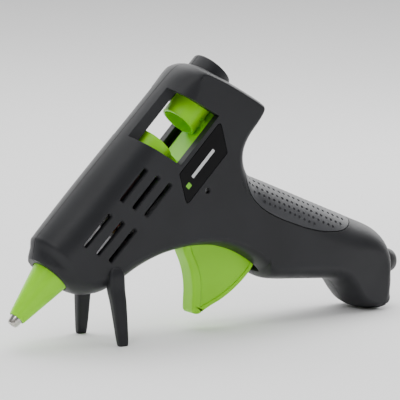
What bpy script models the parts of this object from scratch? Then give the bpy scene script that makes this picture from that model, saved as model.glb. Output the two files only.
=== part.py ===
"""Mini hot glue gun, standing nose down on its two moulded legs and its handle's foot.

Two frames are used, both in millimetres until a mesh is written in metres:

* the gun frame: x runs along the barrel from the nozzle's tip to the stick inlet, y goes across,
  and z points away from the handle. y = 0 is the plane where the casing halves meet.
* the standing frame: X along the bench, Z up from the bench, with its origin between the leg tips.

World X is the standing X less the middle of the whole gun's length, so the world origin is the
bottom centre of the gun's bounding box. The left casing is on -Y and the right casing on +Y.
"""

import math

import bmesh
import bpy
from mathutils import Matrix, Vector

MM = 0.001

# ---------------------------------------------------------------- driving sizes (mm)
TILT = math.radians(45.25)          # barrel's pitch, nose down, when the gun stands
NOZZLE_TIP = (-43.8, 11.1)          # nozzle's tip in the standing frame

HALF_THICKNESS = 14.3               # flat side of the barrel, from the parting plane
WALL = 2.6                          # casing wall
PARTING = 0.3                       # gap between the two halves
GAP = 0.3                           # gap between pieces that meet
HANDLE_REACH = 150.1                # end of the handle, in the standing frame
HANDLE_ROOT = 77.0                  # the handle's length is measured from here

STICK_RADIUS = 3.6                  # 7 mm glue stick, with its tolerance
STICK_CLEARANCE = 0.6               # bore of the inlet and carriage round the stick

SLEEVE_START = 3.4                  # front edge of the green nozzle sleeve
SLEEVE_TIP_RADIUS = 3.7
SLEEVE_BASE = 27.2
SLEEVE_BASE_RADIUS = 8.4
SLEEVE_FLANGE = (29.8, 32.2)        # flange held in a groove of the casing
FLANGE_LIP = 1.3                    # flange stands this far out of the sleeve's barrel
SLEEVE_END = 36.0

CHAMBER_RADIUS = 5.4
SLEEVE_TAIL_RADIUS = max(SLEEVE_BASE_RADIUS - 1.2, CHAMBER_RADIUS + 1.2)
CHAMBER_FRONT = 13.0
CHAMBER_SHOULDER = 20.0
CHAMBER_TAIL = 62.0
CHAMBER_TAIL_RADIUS = 4.7
CHAMBER_END = 70.0
SUPPORT_THICKNESS = 1.4
SUPPORTS = {"front_support": 37.2, "rear_support": 64.9}

HEATER = (36.5 + 3.5, 60.0)         # start and end of the heater stack along the barrel
HEATER_HALF_WIDTH = 4.0
PTC_THICKNESS = 2.2
STRIP_THICKNESS = 0.4
CLIP_THICKNESS = 0.6

FEED_SLEEVE = (67.0, 84.5)
FEED_SLEEVE_WALL = 0.9

COLLAR_RADIUS = 9.5                 # stick inlet moulded on the back of the barrel
COLLAR_END = 143.6

WINDOW_FLOOR = -9.0                 # window's lower edge
WINDOW_ROOF = 10.0                  # lower edge of the guide wall above the stick
WINDOW_TOP = 17.4                   # the side recess runs out through the crown
WINDOW_FRONT = (93.6, 97.9)         # front edge at the roof and at the floor
WINDOW_REAR = (121.2, 126.0)        # rear edge at the roof and at the floor
GUIDE_HALF_WIDTH = 5.5              # width of the top spine left between the two windows
REVEAL_DEPTH = 3.9                  # depth of the window's frame, from the side face

VENT_LENGTH = 17.8
VENT_WIDTH = 1.9
VENT_ROWS = {3.0: 0.0, -4.0: 1.7, -10.8: 3.4}   # height of each row, and how far back it is set
VENT_STARTS = (42.5, 67.8)

LABEL_OUTLINE = ((95.0, -11.2), (124.6, -11.2), (117.4, -23.3), (88.0, -23.3))
LABEL_RADIUS = 1.3
LABEL_THICKNESS = 0.5

PIVOT = (99.2, -27.3)               # trigger's hinge
PIN_RADIUS = 1.5
PIN_CLEARANCE = 0.15
PIN_HALF_LENGTH = 12.2
PULL_ANGLE = math.radians(16.0)
TRIGGER_PAD_HALF_WIDTH = 4.6
TRIGGER_WEB_HALF_WIDTH = 3.9
TRIGGER_SIDE_GAP = 0.5
HUB_RADIUS = PIN_RADIUS + 3.1
SPRING_ROOM_RADIUS = PIN_RADIUS + 2.7
DRIVE_HEAD = (97.5, -9.6)           # round head of the trigger's arm, which drives the carriage
DRIVE_HEAD_RADIUS = 2.2
DRIVE_HEAD_GAP = 0.4

CARRIAGE_RING = (91.5, 101.3)
CARRIAGE_RING_RADIUS = 8.8
CARRIAGE_TUBE = (115.4, 129.0)
CARRIAGE_TUBE_RADIUS = 8.2
CARRIAGE_TUBE_DROP = 2.9            # the tube sits low, so that the gripper fits under the stick
CARRIAGE_TUBE_WALL = 1.2
CARRIAGE_PLATE_THICKNESS = 1.3
CARRIAGE_PLATE_HALF_WIDTH = 6.9
RAIL_GAP = 0.4

GRIPPER_PIN = (121.5, -7.2)
GRIPPER_PIN_RADIUS = 0.8

GRIP_DEPTH = 1.5                    # thickness of the soft grip let into the handle

GLAND_HEIGHT = 20.0                 # cord gland, above the bench
GLAND_BORE = 3.0
GLAND_NECK = 4.3
GLAND_FLANGE = 5.6
GLAND_LENGTH = 5.6

LEG_SPLAY = 17.0                    # middle of a leg's tip, from the parting plane

SCREW_HEAD_RADIUS = 2.6
SCREW_HEAD_HEIGHT = 1.7
SCREW_SHANK_RADIUS = 1.2
SCREW_BOSS_RADIUS = 3.5
LEAD_RADIUS = 0.9

# Casing outline on the parting plane. Each row is one rib of the shell: its upper end, its lower
# end, the half thickness there less HALF_THICKNESS, and how far the rounding reaches in from the
# upper and the lower edge. The barrel's rows are in the gun frame.
BARREL_RIBS = (
    ((26.4, 11.4), (26.4, -9.9), -4.7, 10.5, 10.5),
    ((27.6, 12.3), (27.4, -12.6), -3.5, 11.5, 11.0),
    ((30.2, 14.2), (29.4, -16.0), -2.4, 12.0, 11.0),
    ((33.2, 16.3), (32.6, -19.2), -1.5, 13.0, 10.0),
    ((35.6, 16.5), (34.6, -20.8), -1.2, 13.0, 9.6),
    ((40.0, 16.5), (37.9, -22.5), -0.7, 13.0, 9.0),
    ((50.0, 16.5), (45.0, -24.8), -0.2, 13.0, 8.0),
    ((62.0, 16.5), (54.5, -27.3), 0.0, 13.0, 6.5),
    ((76.0, 16.4), (64.5, -31.6), 0.0, 13.0, 5.0),
    ((92.0, 16.2), (73.0, -37.4), 0.0, 13.0, 4.5),
    ((108.0, 16.0), (79.0, -42.6), 0.0, 13.0, 4.5),
    ((121.0, 15.8), (83.5, -47.5), 0.0, 12.0, 4.5),
    ((129.5, 15.4), (86.2, -50.8), 0.0, 9.0, 4.5),
    ((134.0, 13.6), (87.6, -53.0), 0.0, 6.0, 4.5),
    ((137.2, 10.0), (88.8, -55.2), 0.0, 4.0, 4.5),
    ((140.6, 0.0), (89.8, -57.2), 0.0, 3.2, 4.5),
    ((143.7, -11.0), (90.7, -59.2), 0.0, 3.0, 4.5),
    ((146.4, -22.0), (91.4, -61.0), 0.0, 3.0, 4.5),
    ((146.2, -25.8), (92.0, -62.8), 0.0, 3.0, 4.5),
    ((143.6, -28.2), (92.4, -64.2), 0.0, 3.5, 4.5),
    ((138.0, -29.4), (92.8, -65.6), 0.0, 4.0, 4.5),
    ((131.5, -30.4), (93.1, -67.0), 0.0, 5.0, 4.5),
    ((126.5, -32.4), (93.4, -68.4), 0.0, 6.0, 4.5),
    ((123.0, -36.0), (93.7, -69.8), 0.0, 7.0, 4.5),
    ((121.4, -40.6), (94.4, -76.6), 0.0, 9.0, 5.0),
)
# Between these two rows the casing's side is one flat face.
FLAT_RIBS = (7, 24)
# The handle's rows are in the standing frame.
HANDLE_RIBS = (
    ((73.6, 66.0), (80.6, 19.6), 0.1, 12.0, 5.5),
    ((82.0, 62.4), (88.0, 18.0), 0.5, 14.0, 7.0),
    ((94.0, 57.3), (97.0, 17.2), 0.7, 15.0, 7.5),
    ((107.0, 51.7), (106.0, 16.4), 0.7, 15.0, 7.5),
    ((120.0, 46.2), (114.0, 15.7), 0.5, 15.0, 7.0),
    ((131.0, 41.5), (119.2, 14.8), 0.1, 14.0, 6.0),
    ((138.5, 38.3), (122.8, 11.6), -0.3, 12.0, 5.5),
    ((143.6, 35.0), (125.9, 7.4), -0.6, 10.0, 5.0),
    ((147.2, 30.6), (129.2, 3.4), -0.9, 8.0, 5.0),
    ((149.3, 25.2), (132.8, 1.2), -1.0, 7.0, 5.0),
    ((150.0, 19.0), (136.6, 0.1), -1.1, 7.0, 5.0),
    ((149.9, 13.4), (139.6, -0.4), -1.3, 6.0, 5.0),
    ((148.8, 8.4), (142.0, -0.2), -1.9, 5.0, 4.0),
    ((147.0, 5.2), (144.6, 1.8), -2.8, 3.0, 3.0),
)
# A leg's sections in the standing frame: height, X, Y out from the tip's splay, width, depth.
LEG_SECTIONS = (
    (33.6, -0.8, -4.4, 2.6, 2.4),
    (32.4, -0.8, -4.0, 5.6, 3.8),
    (29.8, -0.8, -3.6, 7.2, 4.8),
    (24.0, -0.6, -3.7, 7.2, 5.6),
    (18.0, -0.3, -2.4, 6.7, 4.8),
    (8.0, 0.1, -1.0, 5.6, 4.1),
    (1.2, 0.3, -0.1, 4.6, 3.6),
    (-0.6, 0.3, 0.0, 3.2, 2.4),
)
# Seam of the soft grip, from the neck to the foot, in the gun frame at the handle's side.
GRIP_SEAM = (
    (119.4, -37.0), (115.2, -41.0), (112.6, -47.0), (112.4, -54.0), (114.2, -62.0),
    (118.0, -71.5), (122.8, -81.5), (128.2, -89.6), (133.4, -95.4), (138.4, -98.2), (144.0, -99.4),
)
# Where the screws go: place in the gun frame, how far from the parting plane the head seats, and
# how far short of HALF_THICKNESS the boss ends.
SCREWS = {
    "screw_tail": (136.8, -18.5, 7.0, 1.8),
    "screw_barrel_top": (74.6, 10.8, 4.0, 7.4),
    "screw_belly": (58.5, -20.6, 7.0, 1.9),
    "screw_grip": (111.0, -82.5, 7.0, 1.8),
    "screw_foot": (124.0, -128.0, 7.0, 2.8),
}

# ---------------------------------------------------------------- frames


def reach(x_stand):
    """Stretch the handle's part of the standing frame to HANDLE_REACH."""
    if x_stand <= HANDLE_ROOT:
        return x_stand
    return HANDLE_ROOT + (x_stand - HANDLE_ROOT) * (HANDLE_REACH - HANDLE_ROOT) / (150.1 - HANDLE_ROOT)


def to_gun(x_stand, z_stand):
    """Turn a point of the standing frame into the gun frame."""
    dx = reach(x_stand) - NOZZLE_TIP[0]
    dz = z_stand - NOZZLE_TIP[1]
    return (
        dx * math.cos(TILT) + dz * math.sin(TILT),
        -dx * math.sin(TILT) + dz * math.cos(TILT),
    )


def to_stand(x_gun, z_gun):
    """Turn a point of the gun frame into the standing frame."""
    return (
        NOZZLE_TIP[0] + x_gun * math.cos(TILT) - z_gun * math.sin(TILT),
        NOZZLE_TIP[1] + x_gun * math.sin(TILT) + z_gun * math.cos(TILT),
    )


def handle_stretch(x_gun, z_gun):
    """Move a gun-frame point of the handle with the handle's length."""
    return to_gun(*to_stand(x_gun, z_gun))


# ---------------------------------------------------------------- scene and materials

for old in list(bpy.data.objects):
    bpy.data.objects.remove(old, do_unlink=True)

PARTS = bpy.data.collections.new("glue_gun")
CUTTERS = bpy.data.collections.new("cutters")
bpy.context.scene.collection.children.link(PARTS)
bpy.context.scene.collection.children.link(CUTTERS)


def material(name, colour, roughness, metallic=0.0):
    """A plain Principled finish."""
    finish = bpy.data.materials.new(name)
    finish.use_nodes = True
    shader = finish.node_tree.nodes["Principled BSDF"]
    shader.inputs["Base Color"].default_value = (*colour, 1.0)
    shader.inputs["Roughness"].default_value = roughness
    shader.inputs["Metallic"].default_value = metallic
    return finish


CHARCOAL = material("charcoal_plastic", (0.045, 0.046, 0.050), 0.45)
GREEN = material("green_plastic", (0.28, 0.62, 0.03), 0.35)
SOFT_GREY = material("soft_grip", (0.085, 0.087, 0.095), 0.65)
GLOSS_BLACK = material("label_black", (0.008, 0.008, 0.009), 0.12)
STEEL = material("steel", (0.60, 0.60, 0.62), 0.30, 1.0)
CHROME = material("plated_brass", (0.78, 0.77, 0.75), 0.16, 1.0)
ALUMINIUM = material("aluminium", (0.72, 0.73, 0.74), 0.42, 1.0)
BRASS = material("brass", (0.75, 0.58, 0.28), 0.32, 1.0)
CERAMIC = material("ceramic", (0.72, 0.70, 0.66), 0.60)
MICA = material("mica", (0.55, 0.47, 0.34), 0.55)
SILICONE = material("silicone", (0.62, 0.08, 0.05), 0.50)
RUBBER = material("gland_rubber", (0.020, 0.020, 0.022), 0.55)
LEAD_RED = material("lead_red", (0.50, 0.05, 0.04), 0.45)
LEAD_WHITE = material("lead_white", (0.70, 0.70, 0.68), 0.45)

# The gland is the gun's last point and the rim of the nozzle's tip is its first.
NOZZLE_TIP_RADIUS = 2.1
GLAND_SEAT = reach(150.1) + GAP
REAR_END = GLAND_SEAT + GLAND_LENGTH
FRONT_END = NOZZLE_TIP[0] - NOZZLE_TIP_RADIUS * math.sin(TILT)
MIDDLE_X = (FRONT_END + REAR_END) / 2.0

GUN = bpy.data.objects.new("gun_frame", None)
PARTS.objects.link(GUN)
GUN.rotation_euler = (0.0, -TILT, 0.0)
GUN.location = ((NOZZLE_TIP[0] - MIDDLE_X) * MM, 0.0, NOZZLE_TIP[1] * MM)

STAND = bpy.data.objects.new("standing_frame", None)
PARTS.objects.link(STAND)
STAND.location = (-MIDDLE_X * MM, 0.0, 0.0)


def place(name, mesh, finish=None, frame=GUN):
    """Put a mesh in a frame. A piece has a finish, and a cutter has none."""
    obj = bpy.data.objects.new(name, mesh)
    obj.parent = frame
    if finish is None:
        CUTTERS.objects.link(obj)
        obj.hide_render = True
        obj.display_type = "WIRE"
    else:
        PARTS.objects.link(obj)
        mesh.materials.append(finish)
    return obj


def finish_mesh(bm, name):
    """Weld a bmesh, point its faces out and write it in metres."""
    bmesh.ops.remove_doubles(bm, verts=bm.verts, dist=1e-4)
    bmesh.ops.recalc_face_normals(bm, faces=bm.faces)
    bmesh.ops.scale(bm, vec=(MM, MM, MM), verts=bm.verts)
    mesh = bpy.data.meshes.new(name)
    bm.to_mesh(mesh)
    bm.free()
    mesh.shade_smooth()
    mesh.set_sharp_from_angle(angle=math.radians(35.0))
    return mesh


def boolean(target, tool, operation):
    """Cut a tool from a target, join it, or keep what they share."""
    modifier = target.modifiers.new(tool.name, "BOOLEAN")
    modifier.operation = operation
    modifier.solver = "EXACT"
    modifier.object = tool


def cut(target, *tools):
    """Cut each tool from the target."""
    for tool in tools:
        boolean(target, tool, "DIFFERENCE")


def join(target, *tools):
    """Join each tool to the target."""
    for tool in tools:
        boolean(target, tool, "UNION")


# ---------------------------------------------------------------- shapes


def fillet(points, radius, steps=4):
    """Round the corners of a closed outline of (u, v) points with arcs of one radius."""
    rounded = []
    count = len(points)
    for index, point in enumerate(points):
        corner = Vector(point)
        to_last = (Vector(points[index - 1]) - corner)
        to_next = (Vector(points[(index + 1) % count]) - corner)
        half = to_last.angle(to_next) / 2.0
        trim = min(radius / math.tan(half), 0.45 * to_last.length, 0.45 * to_next.length)
        start = corner + to_last.normalized() * trim
        end = corner + to_next.normalized() * trim
        for step in range(steps + 1):
            share = step / steps
            first = start.lerp(corner, share)
            second = corner.lerp(end, share)
            rounded.append(tuple(first.lerp(second, share)))
    return rounded


def grown(points, amount):
    """A convex outline, given clockwise or not, with every edge moved out by an amount."""
    middle = sum((Vector(point) for point in points), Vector((0.0, 0.0))) / len(points)
    lines = []
    for index, point in enumerate(points):
        start = Vector(point)
        along = (Vector(points[(index + 1) % len(points)]) - start).normalized()
        out = Vector((along.y, -along.x))
        if out.dot(start - middle) < 0.0:
            out.negate()
        lines.append((start + out * amount, along))
    corners = []
    for index, (start, along) in enumerate(lines):
        before, before_along = lines[index - 1]
        cross = before_along.x * along.y - before_along.y * along.x
        offset = start - before
        share = (offset.x * along.y - offset.y * along.x) / cross
        corners.append(tuple(before + before_along * share))
    return corners


def slab(name, outline, low_y, high_y, finish=None, frame=GUN):
    """A flat plate: an outline of (x, z) points, thick from low_y to high_y."""
    curve = bpy.data.curves.new(name, "CURVE")
    curve.dimensions = "2D"
    curve.fill_mode = "BOTH"
    curve.extrude = (high_y - low_y) / 2.0 * MM
    spline = curve.splines.new("POLY")
    spline.points.add(len(outline) - 1)
    for point, (x, z) in zip(spline.points, outline):
        point.co = (x * MM, z * MM, 0.0, 1.0)
    spline.use_cyclic_u = True
    flat = bpy.data.objects.new(name + "_outline", curve)
    bpy.context.scene.collection.objects.link(flat)
    graph = bpy.context.evaluated_depsgraph_get()
    mesh = bpy.data.meshes.new_from_object(flat.evaluated_get(graph))
    bpy.data.objects.remove(flat, do_unlink=True)
    bpy.data.curves.remove(curve)
    bm = bmesh.new()
    bm.from_mesh(mesh)
    bpy.data.meshes.remove(mesh)
    turn = Matrix.Rotation(math.radians(90.0), 4, "X")
    bmesh.ops.transform(bm, matrix=turn, verts=bm.verts)
    shift = Vector((0.0, (low_y + high_y) / 2.0 * MM, 0.0))
    bmesh.ops.translate(bm, vec=shift, verts=bm.verts)
    bmesh.ops.scale(bm, vec=(1.0 / MM, 1.0 / MM, 1.0 / MM), verts=bm.verts)
    return place(name, finish_mesh(bm, name), finish, frame)


def block(name, low, high, finish=None, frame=GUN):
    """A box between two corners."""
    bm = bmesh.new()
    size = [high[axis] - low[axis] for axis in range(3)]
    middle = [(high[axis] + low[axis]) / 2.0 for axis in range(3)]
    bmesh.ops.create_cube(bm, size=1.0)
    bmesh.ops.scale(bm, vec=size, verts=bm.verts)
    bmesh.ops.translate(bm, vec=middle, verts=bm.verts)
    return place(name, finish_mesh(bm, name), finish, frame)


def rod(name, radius, start, end, finish=None, frame=GUN, segments=24):
    """A round bar between two points."""
    first = Vector(start)
    run = Vector(end) - first
    bm = bmesh.new()
    bmesh.ops.create_cone(
        bm, cap_ends=True, segments=segments, radius1=radius, radius2=radius, depth=run.length
    )
    turn = run.to_track_quat("Z", "Y").to_matrix().to_4x4()
    bmesh.ops.transform(bm, matrix=Matrix.Translation(first + run / 2.0) @ turn, verts=bm.verts)
    return place(name, finish_mesh(bm, name), finish, frame)


def turned(name, profile, finish=None, frame=GUN, steps=24, axis="X", centre=(0.0, 0.0, 0.0)):
    """Turn a profile of (along, radius) points, given from the far end down its outer side."""
    mesh = bpy.data.meshes.new(name)
    closed = profile[0] == profile[-1]
    points = profile[:-1] if closed else profile
    vertices = [(radius * MM, 0.0, along * MM) for along, radius in points]
    edges = [(index, index + 1) for index in range(len(points) - 1)]
    if closed:
        edges.append((len(points) - 1, 0))
    mesh.from_pydata(vertices, edges, [])
    obj = place(name, mesh, finish, frame)
    obj.location = Vector(centre) * MM
    if axis == "X":
        obj.rotation_euler = (0.0, math.radians(90.0), 0.0)
    else:
        obj.rotation_euler = (math.radians(-90.0), 0.0, 0.0)
    screw = obj.modifiers.new("turn", "SCREW")
    screw.steps = steps
    screw.render_steps = steps
    screw.use_merge_vertices = True
    screw.merge_threshold = 1e-5
    screw.use_smooth_shade = True
    return obj


def wire(name, points, radius, finish, frame=GUN, resolution=2):
    """A round wire along a list of points."""
    curve = bpy.data.curves.new(name, "CURVE")
    curve.dimensions = "3D"
    curve.bevel_depth = radius * MM
    curve.bevel_resolution = resolution
    curve.use_fill_caps = True
    spline = curve.splines.new("POLY")
    spline.points.add(len(points) - 1)
    for point, place_at in zip(spline.points, points):
        point.co = (*(value * MM for value in place_at), 1.0)
    obj = bpy.data.objects.new(name, curve)
    curve.materials.append(finish)
    obj.parent = frame
    PARTS.objects.link(obj)
    return obj


def smooth_path(points, spacing):
    """Points along a smooth curve through the given ones, about a spacing apart."""
    knots = [Vector(point) for point in points]
    path = []
    for index in range(len(knots) - 1):
        before = knots[max(index - 1, 0)]
        start, end = knots[index], knots[index + 1]
        after = knots[min(index + 2, len(knots) - 1)]
        steps = max(2, round((end - start).length / spacing))
        for step in range(steps):
            t = step / steps
            path.append(
                0.5 * (2.0 * start + (end - before) * t
                       + (2.0 * before - 5.0 * start + 4.0 * end - after) * t * t
                       + (3.0 * start - before - 3.0 * end + after) * t ** 3)
            )
    path.append(knots[-1])
    return path


# ---------------------------------------------------------------- casing shell


def casing_ribs():
    """All ribs of the casing in the gun frame, with their half thickness."""
    ribs = []
    for upper, lower, thinner, upper_round, lower_round in BARREL_RIBS:
        ribs.append((Vector(upper), Vector(lower), HALF_THICKNESS + thinner, upper_round, lower_round))
    for upper, lower, thinner, upper_round, lower_round in HANDLE_RIBS:
        ribs.append((
            Vector(to_gun(*upper)), Vector(to_gun(*lower)),
            HALF_THICKNESS + thinner, upper_round, lower_round,
        ))
    return ribs


def rail_direction(points, index):
    """Direction of a rail at one of its points."""
    return (points[min(index + 1, len(points) - 1)] - points[max(index - 1, 0)]).normalized()


def inward(ribs, index, end):
    """Direction from a rail into the shell, and how much a distance grows along it."""
    rail = rail_direction([rib[end] for rib in ribs], index)
    if FLAT_RIBS[0] < index < FLAT_RIBS[1]:
        turn = 1.0 if end == 1 else -1.0
        return Vector((-rail.y, rail.x)) * turn, 1.0
    across = (ribs[index][1 - end] - ribs[index][end]).normalized()
    slant = max(abs(rail.x * across.y - rail.y * across.x), 0.45)
    return across, 1.0 / slant


def shell_section(ribs, index, inset, arc_steps):
    """Half a rib's section as (x, y, z) points from its upper to its lower edge, y positive."""
    half_thickness = ribs[index][2]
    depth = half_thickness - inset
    room = (ribs[index][1] - ribs[index][0]).length
    sides = []
    for end in (0, 1):
        direction, stretch = inward(ribs, index, end)
        start = inset * stretch
        rounding = max(ribs[index][3 + end] - inset, 0.6) * stretch
        sides.append([direction, start, rounding])
    used = sum(side[1] + side[2] for side in sides)
    if used > room:
        spare = room - sides[0][1] - sides[1][1]
        share = max(spare, 0.1) / (sides[0][2] + sides[1][2])
        sides[0][2] *= share
        sides[1][2] *= share
    section = []
    for end, steps in ((0, range(arc_steps + 1)), (1, range(arc_steps, -1, -1))):
        direction, start, rounding = sides[end]
        for step in steps:
            angle = math.pi / 2.0 * step / arc_steps
            at = ribs[index][end] + direction * (start + rounding * (1.0 - math.cos(angle)))
            section.append((at.x, depth * math.sin(angle), at.y))
    return section


def shell_body(inset, first, last, arc_steps):
    """The casing's whole body, lofted through its ribs, with flat sides between FLAT_RIBS."""
    ribs = casing_ribs()
    bm = bmesh.new()
    rings = []
    numbers = list(range(first, len(ribs) - last))
    for index in numbers:
        half = shell_section(ribs, index, inset, arc_steps)
        ring = half + [(x, -y, z) for x, y, z in reversed(half[1:-1])]
        rings.append([bm.verts.new(point) for point in ring])
    count = len(rings[0])
    flats = (arc_steps, count - arc_steps - 1)
    for number, ring, following in zip(numbers, rings, rings[1:]):
        for index in range(count):
            after = (index + 1) % count
            if index in flats and FLAT_RIBS[0] <= number < FLAT_RIBS[1]:
                continue
            bm.faces.new((ring[index], ring[after], following[after], following[index]))
    inside = [ring for number, ring in zip(numbers, rings) if FLAT_RIBS[0] <= number <= FLAT_RIBS[1]]
    for index in flats:
        edge = [ring[index] for ring in inside] + [ring[index + 1] for ring in reversed(inside)]
        bm.faces.new(edge)
    bm.faces.new(rings[0])
    bm.faces.new(rings[-1])
    bmesh.ops.triangulate(bm, faces=[face for face in bm.faces if len(face.verts) > 4])
    return bm


def shell_solid(name, inset, first=0, last=0, arc_steps=5):
    """A cutter or a blank made from the casing's body."""
    return place(name, finish_mesh(shell_body(inset, first, last, arc_steps), name))


def window_outline(grow, roof):
    """The stick window: slanted ends, its floor, and a roof at a given height."""
    slope_front = (WINDOW_FRONT[0] - WINDOW_FRONT[1]) / (WINDOW_ROOF - WINDOW_FLOOR)
    slope_rear = (WINDOW_REAR[0] - WINDOW_REAR[1]) / (WINDOW_ROOF - WINDOW_FLOOR)
    low = WINDOW_FLOOR - grow
    high = roof
    return [
        (WINDOW_FRONT[1] + slope_front * (low - WINDOW_FLOOR) - grow, low),
        (WINDOW_REAR[1] + slope_rear * (low - WINDOW_FLOOR) + grow, low),
        (WINDOW_REAR[1] + slope_rear * (high - WINDOW_FLOOR) + grow, high),
        (WINDOW_FRONT[1] + slope_front * (high - WINDOW_FLOOR) - grow, high),
    ]


def vent_outline(start, height):
    """One slot with round ends."""
    half = VENT_WIDTH / 2.0
    outline = []
    for middle, turn in ((start + VENT_LENGTH - half, -90.0), (start + half, 90.0)):
        for step in range(5):
            angle = math.radians(turn + step * 45.0)
            outline.append((middle + half * math.cos(angle), height + half * math.sin(angle)))
    return outline


def leg(name, side):
    """One moulded leg: rounded-square sections joined from its root to its tip."""
    bm = bmesh.new()
    rings = []
    for height, x_mid, y_in, width, depth in LEG_SECTIONS:
        y_mid = side * (LEG_SPLAY + y_in)
        corners = fillet(
            [(width / 2, depth / 2), (-width / 2, depth / 2),
             (-width / 2, -depth / 2), (width / 2, -depth / 2)],
            min(width, depth) * 0.3, 2,
        )
        rings.append([bm.verts.new((x_mid + u, y_mid + v, height)) for u, v in corners])
    for ring, following in zip(rings, rings[1:]):
        for index in range(len(ring)):
            after = (index + 1) % len(ring)
            bm.faces.new((ring[index], ring[after], following[after], following[index]))
    bm.faces.new(rings[0])
    bm.faces.new(rings[-1])
    return place(name, finish_mesh(bm, name), None, STAND)


def grip_zone(name, grow):
    """Prism over the back of the handle, bounded by the grip's seam."""
    seam = [Vector(handle_stretch(*point)) for point in GRIP_SEAM]
    outline = []
    for index, point in enumerate(seam):
        along = (seam[min(index + 1, len(seam) - 1)] - seam[max(index - 1, 0)]).normalized()
        outline.append(tuple(point + Vector((along.y, -along.x)) * grow))
    foot = seam[-1]
    neck = seam[0]
    outline.append((foot.x + 16.0, foot.y - 2.0 - grow))
    outline.append((foot.x + 16.0, neck.y + 1.0))
    outline.append((neck.x + 10.0, neck.y - 0.5 + grow))
    return slab(name, outline, -30.0, 30.0)


def carriage_floor():
    """Top face of the carriage's plate: the low tube stands on it."""
    return -(CARRIAGE_TUBE_DROP + CARRIAGE_TUBE_RADIUS)


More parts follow.
